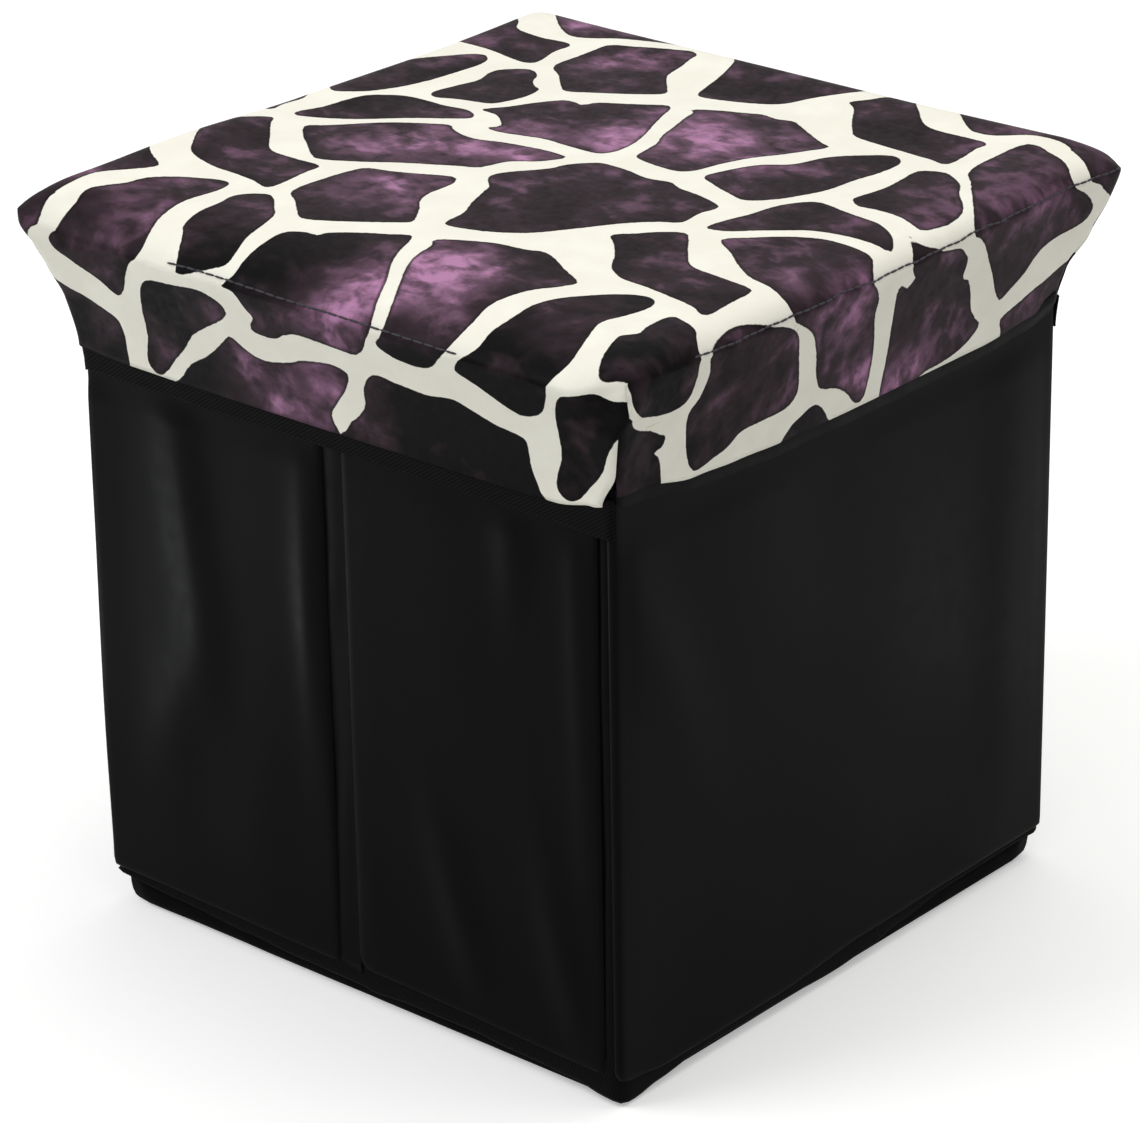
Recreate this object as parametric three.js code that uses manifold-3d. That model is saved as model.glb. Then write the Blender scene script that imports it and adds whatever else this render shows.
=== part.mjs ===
// Collapsible storage ottoman: a cube of faux-leather panels with a padded, fabric-hinged lid.
// Millimetres, +Z up. The origin is at the centre of the footprint, on the surface it stands on.
// +X is the side on which the lid is sewn to the wall, and -Y is the front, which folds in half.
//
// The front and back each fold inwards along a middle crease, so that the far wall travels
// towards the hinge wall and the box packs flat. Each fold line is a strip of bare fabric
// between stiffened panels. The loose base board stands up against the hinge wall to fold.
import * as THREE from 'three';
import { mergeVertices } from 'three/addons/utils/BufferGeometryUtils.js';
import Module from 'manifold-3d';

const wasm = await Module();
wasm.setup();

// --- Driving dimensions -------------------------------------------------------------------

// Body
const bodyWidth = 272; // along X, over the hinge wall and the far wall
const bodyDepth = 272; // along Y, over the front and the back
const rimHeight = 271.8; // top of the bound rim of the walls
const panelFoot = 12; // lower edge of the stiffened panels
const footCornerRadius = 9; // rounding of a panel's lower corners
const topCornerRadius = 1.5; // rounding of a panel's upper corners
const edgeRadius = 1.6; // softness of a panel's outer edge

// Layers of a wall, from the outside in
const skinThickness = 1.2; // vinyl
const wallBoardThickness = 2.4; // fibreboard stiffener
const liningThickness = 1; // non-woven lining
const layerGap = 0.2; // between layers that lie on each other
const liningInset = 1; // bare edge of vinyl around the lining

// Fold lines
const cornerHingeWidth = 6; // bare fabric between a full wall and a folding half
const centreHingeWidth = 6; // bare fabric between the two halves of a side
const hingeClearance = 0.5; // between a fold line and the panel that swings on it
const stripThickness = 1.4; // folded fabric on a fold line
const stripDepth = 2.6; // how far a strip lies behind the panels' outer face

// Rim binding
const rimTapeHeight = 12;
const rimTapeThickness = 1;

// Lid
const skirtHeight = 56; // printed skirt, from the top edge to the hem
const skirtFlare = 12.9; // how far the top edge stands out past the hem
const skirtHollow = 1.3; // how hollow the skirt is: 1 is straight
const paddingThickness = 20; // foam, at the top edge
const crownHeight = 11; // rise of the top from its edge to its middle
const crownShape = 10; // how late the top falls towards its edges: higher is flatter in the middle
const cornerDroop = 2; // how far the corners of the top hang below its edges
const coverThickness = 1.1;
const topEdgeRadius = 2.5;
const lidCornerRadius = 7; // in plan, at the top edge
const hemCornerRadius = 4; // in plan, at the hem
const skirtClearance = 2.5; // between the skirt and the walls
const hemTapeDrop = 13; // how far the binding hangs below the printed skirt
const hemTapeThickness = 1.6;
const lidSeat = 0.3; // between the rim and the underside of the lid
const lidLiningThickness = 1;
const lidBoardThickness = 4;
const paddingGap = 0.4; // between the padding and the cover around it

// Fabric hinge of the lid
const flapFoot = 16; // height of the flap below the seam
const flapSewnHeight = 3; // part of the flap that lies flat on the wall
const flapInset = 1; // how far the flap stops short of the skirts at its ends
const seamGap = 0.3; // between sewn edges that meet

// Bottom
const floorSheetThickness = 2.2;
const floorSheetFoot = 10; // how far the flat of the sheet lies inside the walls
const floorSheetFootRadius = 16;
const floorSheetBulge = 1; // how far the sheet's side lies inside the binding
const bindingHeight = 7.2;
const bindingThickness = 2;
const bindingInset = 1; // behind the outer face of the walls
const bindingCornerRadius = 6;

// Base board
const baseCoreThickness = 3;
const baseCoverThickness = 0.6;
const baseEdgeGap = 2.6; // between the board and the walls, front, back and far side
const baseWallGap = 0.6; // between the board and the hinge wall once it stands up
const baseCornerRadius = 8;

// Fineness of curves
const cornerSteps = 5;
const lidCornerSteps = 8;
const edgeSteps = 3;

// --- Dependent sizes ----------------------------------------------------------------------

const halfX = bodyWidth / 2;
const halfY = bodyDepth / 2;
const wallThickness = skinThickness + wallBoardThickness + liningThickness + 2 * layerGap;
const innerX = halfX - wallThickness;
const innerY = halfY - wallThickness;
const cornerPivotX = innerX - cornerHingeWidth; // fold line of the corners, on the inner faces
const skinTop = rimHeight - rimTapeHeight - layerGap;

const hemInnerX = halfX + skirtClearance;
const hemInnerY = halfY + skirtClearance;
const lidHalfX = hemInnerX + coverThickness + skirtFlare;
const lidHalfY = hemInnerY + coverThickness + skirtFlare;
const lidUnderside = rimHeight + lidSeat;
const lidBoardFoot = lidUnderside + lidLiningThickness + layerGap;
const paddingFoot = lidBoardFoot + lidBoardThickness + layerGap;
const topEdge = paddingFoot + paddingThickness + paddingGap + coverThickness;
const hemHeight = topEdge - skirtHeight;

const baseFoot = floorSheetThickness + lidSeat;
const baseThickness = baseCoreThickness + baseCoverThickness + layerGap;
const basePivotX = innerX - baseWallGap - baseThickness;
const bindingTop = panelFoot - seamGap;

// --- Materials ----------------------------------------------------------------------------

const finish = (color, roughness, metalness = 0) =>
  new THREE.MeshStandardMaterial({ color, roughness, metalness });

const blackVinyl = finish(0x1a1a1b, 0.42);
const printedVinyl = finish(0xe9e3d4, 0.48);
const blackTape = finish(0x111112, 0.85);
const blackLining = finish(0x18181a, 0.95);
const fibreboard = finish(0x8a6a48, 0.9);
const foam = finish(0xe8dfb8, 0.95);

// --- Geometry helpers ---------------------------------------------------------------------

/** Six times the signed volume of a closed mesh: positive where its faces point out. */
function signedVolume(vertices, indices) {
  let total = 0;
  for (let i = 0; i < indices.length; i += 3) {
    const [a, b, c] = [vertices[indices[i]], vertices[indices[i + 1]], vertices[indices[i + 2]]];
    total += a.dot(new THREE.Vector3().crossVectors(b, c));
  }
  return total;
}

/** A closed solid through rings of equally many points, with a flat or domed cap on each end. */
function loft(rings) {
  const count = rings[0].length;
  const vertices = rings.flat().map((point) => point.clone());
  const indices = [];
  for (let ring = 0; ring + 1 < rings.length; ring += 1) {
    for (let i = 0; i < count; i += 1) {
      const [a, b] = [ring * count + i, ring * count + ((i + 1) % count)];
      indices.push(a, b, b + count, a, b + count, a + count);
    }
  }
  const lastStart = (rings.length - 1) * count;
  for (const [start, turned] of [[0, true], [lastStart, false]]) {
    const centre = new THREE.Vector3();
    for (let i = 0; i < count; i += 1) centre.addScaledVector(vertices[start + i], 1 / count);
    const hub = vertices.push(centre) - 1;
    for (let i = 0; i < count; i += 1) {
      const [a, b] = [start + i, start + ((i + 1) % count)];
      indices.push(hub, ...(turned ? [b, a] : [a, b]));
    }
  }
  if (signedVolume(vertices, indices) < 0) indices.reverse();
  const geometry = new THREE.BufferGeometry().setFromPoints(vertices);
  geometry.setIndex(indices);
  geometry.computeVertexNormals();
  return geometry;
}

/** Outline of a rectangle with its own rounding below and above, anticlockwise, as [u, v]. */
function roundedRectangle({ u0, u1, v0, v1, lower, upper = lower, inset = 0, steps = cornerSteps }) {
  const corners = [
    { u: u1, v: v0, side: [-1, 1], radius: lower, start: -Math.PI / 2 },
    { u: u1, v: v1, side: [-1, -1], radius: upper, start: 0 },
    { u: u0, v: v1, side: [1, -1], radius: upper, start: Math.PI / 2 },
    { u: u0, v: v0, side: [1, 1], radius: lower, start: Math.PI },
  ];
  return corners.flatMap(({ u, v, side, radius, start }) => {
    const r = Math.max(radius - inset, radius / 4);
    const centre = [u + side[0] * (inset + r), v + side[1] * (inset + r)];
    return Array.from({ length: steps + 1 }, (_, i) => {
      const angle = start + (i / steps) * (Math.PI / 2);
      return [centre[0] + r * Math.cos(angle), centre[1] + r * Math.sin(angle)];
    });
  });
}

/** A ring that stands upright, facing -Y, at the depth y. */
const uprightRing = (outline, y) => outline.map(([u, v]) => new THREE.Vector3(u, y, v));

/** A ring that lies level at the height z. */
const levelRing = (outline, z) => outline.map(([u, v]) => new THREE.Vector3(u, v, z));

/** A bar along X from x0 to x1, with a section given as [y, z] points. */
function bar(section, x0, x1) {
  const shape = new THREE.Shape(section.map(([y, z]) => new THREE.Vector2(y, z)));
  const geometry = new THREE.ExtrudeGeometry(shape, { depth: x1 - x0, bevelEnabled: false });
  const axes = new THREE.Matrix4().makeBasis(
    new THREE.Vector3(0, 1, 0),
    new THREE.Vector3(0, 0, 1),
    new THREE.Vector3(1, 0, 0),
  );
  return geometry.applyMatrix4(axes).translate(x0, 0, 0);
}

/** A box between two corners. */
function block(low, high) {
  const size = high.map((value, i) => value - low[i]);
  return new THREE.BoxGeometry(...size).translate(...low.map((value, i) => value + size[i] / 2));
}

/** The solid of a closed geometry, for a boolean cut. */
function solidOf(geometry) {
  const bare = geometry.clone();
  bare.deleteAttribute('normal');
  bare.deleteAttribute('uv');
  const merged = mergeVertices(bare);
  return new wasm.Manifold(new wasm.Mesh({
    numProp: 3,
    vertProperties: Float32Array.from(merged.attributes.position.array),
    triVerts: Uint32Array.from(merged.index.array),
  }));
}

/** A geometry with another one cut out of it. */
function cut(geometry, tool) {
  const { numProp, vertProperties, triVerts } = solidOf(geometry).subtract(solidOf(tool)).getMesh();
  const result = new THREE.BufferGeometry();
  const stride = new THREE.InterleavedBuffer(vertProperties, numProp);
  result.setAttribute('position', new THREE.InterleavedBufferAttribute(stride, 3, 0));
  result.setIndex(Array.from(triVerts));
  result.computeVertexNormals();
  return result;
}

function piece(name, geometry, material) {
  const mesh = new THREE.Mesh(geometry, material);
  mesh.name = name;
  return mesh;
}

function assembly(...pieces) {
  const group = new THREE.Group();
  group.add(...pieces);
  return group;
}

// --- Walls --------------------------------------------------------------------------------
// A panel is drawn as the front: it stands along X with its outer face at y = -reach.

/** Vinyl skin: a tray with soft edges that wraps its board and is open at the top for it. */
function skinGeometry({ x0, x1, reach }) {
  const outline = (inset) =>
    roundedRectangle({
      u0: x0, u1: x1, v0: panelFoot, v1: skinTop,
      lower: footCornerRadius, upper: topCornerRadius, inset,
    });
  const softEdge = Array.from({ length: edgeSteps + 1 }, (_, i) => {
    const angle = (i / edgeSteps) * (Math.PI / 2);
    const inset = edgeRadius * (1 - Math.sin(angle));
    return uprightRing(outline(inset), -reach + edgeRadius * (1 - Math.cos(angle)));
  });
  const trayBack = -reach + wallThickness - liningThickness - layerGap;
  const tray = loft([
    ...softEdge,
    uprightRing(outline(0), trayBack),
    uprightRing(outline(skinThickness), trayBack),
    uprightRing(outline(skinThickness), -reach + skinThickness),
  ]);
  const mouth = block(
    [x0 + skinThickness, -reach + skinThickness, skinTop - footCornerRadius],
    [x1 - skinThickness, -reach + wallThickness, rimHeight],
  );
  return cut(tray, mouth);
}

/** Stiffener inside the skin, which runs up into the rim binding. */
function wallBoardGeometry({ x0, x1, reach }) {
  const inset = skinThickness + layerGap;
  const outline = roundedRectangle({
    u0: x0, u1: x1, v0: panelFoot, v1: rimHeight - rimTapeThickness - layerGap + inset,
    lower: footCornerRadius, upper: topCornerRadius, inset,
  });
  const front = -reach + skinThickness + layerGap;
  return loft([uprightRing(outline, front), uprightRing(outline, front + wallBoardThickness)]);
}

/** Lining over the inner face. */
function wallLiningGeometry({ x0, x1, reach }) {
  const outline = roundedRectangle({
    u0: x0, u1: x1, v0: panelFoot, v1: skinTop + liningInset,
    lower: footCornerRadius, upper: topCornerRadius, inset: liningInset,
  });
  const back = -reach + wallThickness;
  return loft([uprightRing(outline, back - liningThickness), uprightRing(outline, back)]);
}

/** Binding folded over the top edge of a wall, flush with its faces. */
function rimTapeGeometry({ x0, x1, reach }) {
  const [front, back] = [-reach, -reach + wallThickness];
  const foot = rimHeight - rimTapeHeight + layerGap;
  const roof = rimHeight - rimTapeThickness;
  return bar([
    [front, foot], [front + rimTapeThickness, foot], [front + rimTapeThickness, roof],
    [back - rimTapeThickness, roof], [back - rimTapeThickness, foot], [back, foot],
    [back, rimHeight], [front, rimHeight],
  ], x0, x1);
}

function wall(name, place) {
  return assembly(
    piece(`${name}_skin`, skinGeometry(place), blackVinyl),
    piece(`${name}_board`, wallBoardGeometry(place), fibreboard),
    piece(`${name}_lining`, wallLiningGeometry(place), blackLining),
    piece(`${name}_rim_tape`, rimTapeGeometry(place), blackTape),
  );
}

/** Bare fabric of a fold line, set back from the outer face. */
function foldStrip(name, { x0, x1, reach }) {
  const front = -reach + stripDepth;
  const low = [x0 + seamGap, front, panelFoot];
  const high = [x1 - seamGap, front + stripThickness, rimHeight];
  return piece(name, block(low, high), blackVinyl);
}

/** The half of a side next to +X (side 1) or next to -X (side -1). */
function halfPlace(side, reach) {
  const ends = [side * (centreHingeWidth / 2), side * (cornerPivotX - hingeClearance)];
  return { x0: Math.min(...ends), x1: Math.max(...ends), reach };
}

/** The corner strip next to +X (side 1) or next to -X (side -1). */
function cornerPlace(side, reach) {
  const ends = [side * cornerPivotX, side * innerX];
  return { x0: Math.min(...ends), x1: Math.max(...ends), reach };
}

const centrePlace = (reach) => ({ x0: -centreHingeWidth / 2, x1: centreHingeWidth / 2, reach });

/** Turns what is drawn as the front about Z, onto another side of the box. */
function turned(group, quarterTurns) {
  group.rotation.z = quarterTurns * (Math.PI / 2);
  return group;
}

const fullWall = (name, quarterTurns) =>
  turned(wall(name, { x0: -halfY, x1: halfY, reach: halfX }), quarterTurns);

const hingeWall = assembly(
  fullWall('hinge_wall', 1),
  foldStrip('front_hinge_corner_strip', cornerPlace(1, halfY)),
  turned(assembly(foldStrip('back_hinge_corner_strip', cornerPlace(-1, halfY))), 2),
);
const farWall = assembly(
  fullWall('far_wall', 3),
  foldStrip('front_far_corner_strip', cornerPlace(-1, halfY)),
  turned(assembly(foldStrip('back_far_corner_strip', cornerPlace(1, halfY))), 2),
);
const frontHalves = assembly(
  wall('front_half_a', halfPlace(1, halfY)),
  wall('front_half_b', halfPlace(-1, halfY)),
  foldStrip('front_centre_strip', centrePlace(halfY)),
);
const backHalves = turned(assembly(
  wall('back_half_a', halfPlace(-1, halfY)),
  wall('back_half_b', halfPlace(1, halfY)),
  foldStrip('back_centre_strip', centrePlace(halfY)),
), 2);

// --- Bottom -------------------------------------------------------------------------------

const footprint = (inset, radius) =>
  roundedRectangle({ u0: -halfX, u1: halfX, v0: -halfY, v1: halfY, lower: radius, inset });

/** Fabric bottom: a shallow dish that is flat where it rests and sewn to the binding above. */
function floorSheetGeometry() {
  const rise = bindingTop - bindingHeight - seamGap;
  const rimInset = bindingInset + floorSheetBulge;
  const sideInset = rimInset + bindingThickness / 2;
  const ring = (inset, z, radius = bindingCornerRadius) =>
    levelRing(footprint(inset, radius + inset), z);
  return loft([
    ring(floorSheetFoot, 0, floorSheetFootRadius),
    ring(sideInset, 0.7 * floorSheetThickness),
    ring(rimInset, rise),
    ring(sideInset, rise),
    ring(sideInset + floorSheetBulge, floorSheetThickness),
  ]);
}

/** Woven binding that hangs below the walls, around the whole bottom. */
function bottomBindingGeometry() {
  const outer = footprint(bindingInset, bindingCornerRadius + bindingInset);
  const innerInset = bindingInset + bindingThickness;
  const inner = footprint(innerInset, bindingCornerRadius + bindingInset);
  const shape = new THREE.Shape(outer.map(([u, v]) => new THREE.Vector2(u, v)));
  shape.holes.push(new THREE.Path(inner.map(([u, v]) => new THREE.Vector2(u, v))));
  const geometry = new THREE.ExtrudeGeometry(shape, { depth: bindingHeight, bevelEnabled: false });
  return geometry.translate(0, 0, bindingTop - bindingHeight);
}

const bottom = assembly(
  piece('floor_sheet', floorSheetGeometry(), blackLining),
  piece('bottom_binding', bottomBindingGeometry(), blackTape),
);

// --- Base board ---------------------------------------------------------------------------

/** Outline of the base board. Its edge beside the hinge wall is the line it tilts on. */
const baseOutline = (inset) =>
  roundedRectangle({
    u0: -innerX + baseEdgeGap, u1: basePivotX, v0: -innerY + baseEdgeGap, v1: innerY - baseEdgeGap,
    lower: baseCornerRadius, inset,
  });

/** Lining that wraps the top and edges of the base board. */
function baseCoverGeometry() {
  const top = baseFoot + baseThickness;
  const underTop = top - baseCoverThickness;
  return loft([
    levelRing(baseOutline(0), top),
    levelRing(baseOutline(0), baseFoot),
    levelRing(baseOutline(baseCoverThickness), baseFoot),
    levelRing(baseOutline(baseCoverThickness), underTop),
  ]);
}

function baseCoreGeometry() {
  const outline = baseOutline(baseCoverThickness + layerGap);
  return loft([levelRing(outline, baseFoot), levelRing(outline, baseFoot + baseCoreThickness)]);
}

const baseBoard = assembly(
  piece('base_board_cover', baseCoverGeometry(), blackLining),
  piece('base_board_core', baseCoreGeometry(), fibreboard),
);

// --- Lid ----------------------------------------------------------------------------------

/** Half sizes of the skirt's outer face at a height between the hem and the top edge. */
function skirtReach(z) {
  const t = Math.max(0, (z - hemHeight) / (topEdge - topEdgeRadius - hemHeight)) ** skirtHollow;
  return {
    x: THREE.MathUtils.lerp(hemInnerX + coverThickness, lidHalfX, t),
    y: THREE.MathUtils.lerp(hemInnerY + coverThickness, lidHalfY, t),
    radius: THREE.MathUtils.lerp(hemCornerRadius, lidCornerRadius, t),
  };
}

/** A ring of the lid: a rounded rectangle whose corners hang lower by droop. */
function lidRing({ x, y, radius, z, droop = 0 }) {
  const outline = roundedRectangle({
    u0: -x, u1: x, v0: -y, v1: y, lower: radius, steps: lidCornerSteps,
  });
  return outline.map(([u, v]) => {
    const cornerness = Math.abs((u / lidHalfX) * (v / lidHalfY)) ** 4;
    return new THREE.Vector3(u, v, z - droop * cornerness);
  });
}

/** Rings over the top edge and across the crowned top, drawn in by inset. */
function crownRings(inset) {
  const turn = Array.from({ length: edgeSteps + 1 }, (_, i) => {
    const angle = (i / edgeSteps) * (Math.PI / 2);
    const shift = inset + topEdgeRadius * (1 - Math.cos(angle));
    return lidRing({
      x: lidHalfX - shift, y: lidHalfY - shift, radius: Math.max(lidCornerRadius - shift, 2),
      z: topEdge - topEdgeRadius + topEdgeRadius * Math.sin(angle) - inset * Math.sin(angle),
      droop: cornerDroop,
    });
  });
  const across = [0.96, 0.9, 0.78, 0.55, 0.2].map((share) =>
    lidRing({
      x: share * lidHalfX, y: share * lidHalfY, radius: share * lidCornerRadius * 2,
      z: topEdge + crownHeight * (1 - share ** crownShape) - inset, droop: cornerDroop,
    }));
  return [...turn, ...across];
}

/** Rings down the skirt from just under the top edge to the height foot, drawn in by inset. */
function skirtRings(inset, foot) {
  const count = 4;
  return Array.from({ length: count }, (_, i) => {
    const z = THREE.MathUtils.lerp(topEdge - topEdgeRadius, foot, (i + 1) / count);
    const { x, y, radius } = skirtReach(z);
    const droop = cornerDroop * (1 - (i + 1) / count);
    return lidRing({ x: x - inset, y: y - inset, radius: Math.max(radius - inset, 2), z, droop });
  });
}

/** Printed cover: one shell that wraps the padded top and hangs down as the skirt. */
function lidCoverGeometry() {
  const outside = [...crownRings(0).reverse(), ...skirtRings(0, hemHeight)];
  const inside = [...crownRings(coverThickness).reverse(), ...skirtRings(coverThickness, hemHeight)];
  return loft([...outside, ...inside.reverse()]);
}

/** Padding between the lid's board and its cover. */
function paddingGeometry() {
  const inset = coverThickness + paddingGap;
  const { x, y, radius } = skirtReach(paddingFoot);
  const foot = lidRing({ x: x - inset, y: y - inset, radius: radius - inset, z: paddingFoot });
  return loft([foot, ...crownRings(inset)]);
}

/** A flat layer of the lid that fills the skirt at its height. */
function lidLayerGeometry(z, thickness) {
  const inset = coverThickness + paddingGap;
  const { x, y, radius } = skirtReach(z);
  const ring = (height) =>
    lidRing({ x: x - inset, y: y - inset, radius: radius - inset, z: height });
  return loft([ring(z), ring(z + thickness)]);
}

/** Binding that hangs from the printed hem along one side of the lid, drawn as the front. */
function hemTape(name, { x0, x1, reach }) {
  const top = hemHeight - seamGap;
  const low = [x0, -reach - hemTapeThickness, top - hemTapeDrop];
  return piece(name, block(low, [x1, -reach, top]), blackTape);
}

const sideTape = { x0: -hemInnerX, x1: hemInnerX, reach: hemInnerY };
const farTapeEnd = hemInnerY + hemTapeThickness;

const lid = assembly(
  piece('lid_cover', lidCoverGeometry(), printedVinyl),
  piece('lid_padding', paddingGeometry(), foam),
  piece('lid_board', lidLayerGeometry(lidBoardFoot, lidBoardThickness), fibreboard),
  piece('lid_lining', lidLayerGeometry(lidUnderside, lidLiningThickness), blackLining),
  hemTape('front_hem_tape', sideTape),
  turned(assembly(hemTape('back_hem_tape', sideTape)), 2),
  turned(assembly(hemTape('far_hem_tape', {
    x0: -farTapeEnd, x1: farTapeEnd, reach: hemInnerX + seamGap,
  })), 3),
);

/** Flap of the hinge wall's vinyl that leans out from the wall to the seam under the skirt. */
function hingeFlapGeometry() {
  const seam = hemHeight - 2 * seamGap;
  const foot = seam - flapFoot;
  const wallFace = -halfX - layerGap;
  const sewnTop = foot + flapSewnHeight;
  return bar([
    [wallFace, foot], [wallFace, sewnTop], [-hemInnerX, seam],
    [-hemInnerX - coverThickness, seam], [wallFace - coverThickness, sewnTop],
    [wallFace - coverThickness, foot],
  ], -hemInnerY + flapInset, hemInnerY - flapInset);
}

const hingeFlap = turned(assembly(piece('lid_hinge_flap', hingeFlapGeometry(), blackVinyl)), 1);

// --- The ottoman --------------------------------------------------------------------------

const group = assembly(hingeWall, farWall, frontHalves, backHalves, bottom, baseBoard, hingeFlap, lid);

export default group;
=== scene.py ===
"""Looks of a folding storage ottoman: a printed padded lid on a fold-flat black vinyl box."""

import logging
import math
from dataclasses import dataclass
from enum import Enum

import bpy
import numpy as np
from mathutils import Matrix, Vector


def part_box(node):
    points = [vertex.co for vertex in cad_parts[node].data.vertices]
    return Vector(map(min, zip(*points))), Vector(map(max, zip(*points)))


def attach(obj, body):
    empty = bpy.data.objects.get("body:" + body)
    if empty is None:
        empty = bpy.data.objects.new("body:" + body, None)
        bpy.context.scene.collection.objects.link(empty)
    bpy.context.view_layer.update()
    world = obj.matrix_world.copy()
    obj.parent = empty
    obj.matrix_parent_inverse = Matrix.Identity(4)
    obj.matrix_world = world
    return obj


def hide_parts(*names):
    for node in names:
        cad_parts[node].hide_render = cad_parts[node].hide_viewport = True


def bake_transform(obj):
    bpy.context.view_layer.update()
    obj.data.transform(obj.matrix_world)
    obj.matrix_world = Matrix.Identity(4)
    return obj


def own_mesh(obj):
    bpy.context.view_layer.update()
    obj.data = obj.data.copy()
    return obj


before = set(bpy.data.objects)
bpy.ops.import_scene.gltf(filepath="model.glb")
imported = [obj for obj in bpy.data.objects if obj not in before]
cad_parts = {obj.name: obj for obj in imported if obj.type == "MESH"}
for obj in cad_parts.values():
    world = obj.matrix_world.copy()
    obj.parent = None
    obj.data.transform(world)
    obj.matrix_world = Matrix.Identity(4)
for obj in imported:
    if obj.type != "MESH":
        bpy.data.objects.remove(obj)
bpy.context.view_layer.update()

LOG = logging.getLogger("ottoman")
MM = 0.001
SEED = 20
WAVES = 7

Array = np.ndarray
Colour = tuple[float, float, float]


class Side(Enum):
    """The box's four sides, as quarter turns from the front one."""

    FRONT = 0
    HINGE = 1
    BACK = 2
    FAR = 3


# ---------------------------------------------------------------- mesh work


def turned(points: Array, side: Side) -> Array:
    """Turns points about the upright axis from the front side to another.

    Args:
        points: Points of the front side, one a row.
        side: The side to turn them to.

    Returns:
        The turned points.
    """
    x, y, z = points[..., 0], points[..., 1], points[..., 2]
    ways = {
        Side.FRONT: (x, y),
        Side.HINGE: (-y, x),
        Side.BACK: (-x, -y),
        Side.FAR: (y, -x),
    }
    return np.stack([*ways[side], z], axis=-1)


def box_of(node: str, side: Side = Side.FRONT) -> tuple[list[float], list[float]]:
    """Reads where a CAD node lies, its side of the box turned to the front.

    Args:
        node: The node's name.
        side: The side that it is on.

    Returns:
        Its lowest and highest corner in millimetres, to a hundredth.
    """
    unturn = Side(-side.value % len(Side))
    corners = turned(np.array([list(corner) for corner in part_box(node)]) / MM, unturn)
    return np.round(corners.min(0), 2).tolist(), np.round(corners.max(0), 2).tolist()


def grid_faces(rows: int, columns: int, first: int = 0) -> Array:
    """Quads of a grid whose points are stored row by row.

    Args:
        rows: How many rows of points.
        columns: How many points in a row.
        first: The number of the grid's first point.

    Returns:
        The quads, counter-clockwise where columns run right and rows run up.
    """
    index = first + np.arange(rows * columns).reshape(rows, columns)
    quads = [index[:-1, :-1], index[:-1, 1:], index[1:, 1:], index[1:, :-1]]
    return np.stack([q.ravel() for q in quads], axis=1)


def ring_faces(lower: Array, upper: Array) -> Array:
    """Quads between two closed loops of as many points.

    Args:
        lower: Point numbers of the first loop.
        upper: Point numbers of the second loop.

    Returns:
        The quads.
    """
    return np.stack([lower, np.roll(lower, -1), np.roll(upper, -1), upper], axis=1)


def grid_edge(rows: int, columns: int) -> Array:
    """Point numbers round the edge of a grid that is stored row by row."""
    index = np.arange(rows * columns).reshape(rows, columns)
    return np.concatenate([index[0, :-1], index[:-1, -1], index[-1, :0:-1], index[:0:-1, 0]])


def add_rings(layers: list[Array], faces: list[Array], rings: list[Array], last: Array) -> Array:
    """Adds closed rings of points to a mesh, each joined to the one before it.

    Args:
        layers: The mesh's points so far, which grow.
        faces: Its quads so far, which grow.
        rings: The points of each ring.
        last: Point numbers of the loop that the first ring joins.

    Returns:
        Point numbers of the last ring.
    """
    count = sum(len(layer) for layer in layers)
    for ring in rings:
        index = count + np.arange(len(ring))
        layers.append(ring)
        faces.append(ring_faces(index, last))
        last, count = index, count + len(ring)
    return last


def point_normals(points: Array, faces: Array) -> Array:
    """Area-weighted normals of a quad mesh's points.

    Args:
        points: The points.
        faces: Four point numbers for each face.

    Returns:
        A normal of length 1 for each point.
    """
    a, b, c, d = (points[faces[:, i]] for i in range(4))
    across = np.cross(c - a, d - b)
    total = np.zeros_like(points)
    for i in range(4):
        np.add.at(total, faces[:, i], across)
    return total / np.maximum(np.linalg.norm(total, axis=1, keepdims=True), 1e-12)


def thickened(points: Array, faces: Array, thickness: float) -> tuple[Array, Array]:
    """Gives a sheet of quads a second layer behind it and closes its free edges.

    Args:
        points: The sheet's points.
        faces: Its quads, seen from the front.
        thickness: The sheet's thickness, in the points' unit.

    Returns:
        The closed shell's points and quads: the front's, the back's, then the rim's.
    """
    count = len(points)
    back = points - point_normals(points, faces) * thickness
    tails = faces.ravel()
    heads = np.roll(faces, -1, axis=1).ravel()
    free = ~np.isin(tails.astype(np.int64) * count + heads, heads.astype(np.int64) * count + tails)
    tails, heads = tails[free], heads[free]
    rim = np.stack([heads, tails, tails + count, heads + count], axis=1)
    return np.concatenate([points, back]), np.concatenate([faces, faces[:, ::-1] + count, rim])


def make_piece(name: str, points: Array, faces: Array, *finishes: "Finish") -> bpy.types.Object:
    """Makes a smooth-shaded mesh piece from points in millimetres.

    Args:
        name: The piece's name.
        points: Its points, in millimetres.
        faces: Its quads.
        finishes: One finish for each material slot.

    Returns:
        The new object.
    """
    mesh = bpy.data.meshes.new(name)
    mesh.from_pydata((points * MM).tolist(), [], faces.tolist())
    mesh.shade_smooth()
    for finish in finishes:
        mesh.materials.append(finish.material())
    piece = bpy.data.objects.new(name, mesh)
    bpy.context.scene.collection.objects.link(piece)
    return piece


def tie(piece: bpy.types.Object, body: str, node: str) -> None:
    """Lets a piece move with a body and hides the CAD node that it stands for.

    Args:
        piece: The piece.
        body: The body that it rides on.
        node: The CAD node that it stands for.
    """
    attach(piece, body)
    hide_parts(node)


def refinish(node: str, finish: "Finish") -> None:
    """Gives a CAD node that shows as it is a finish of its own."""
    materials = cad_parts[node].data.materials
    materials.clear()
    materials.append(finish.material())


def set_values(piece: bpy.types.Object, name: str, values: Array) -> None:
    """Stores one number for each point of a piece, for its material to read."""
    attribute = piece.data.attributes.new(name, "FLOAT", "POINT")
    attribute.data.foreach_set("value", values.astype(np.float32))


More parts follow.
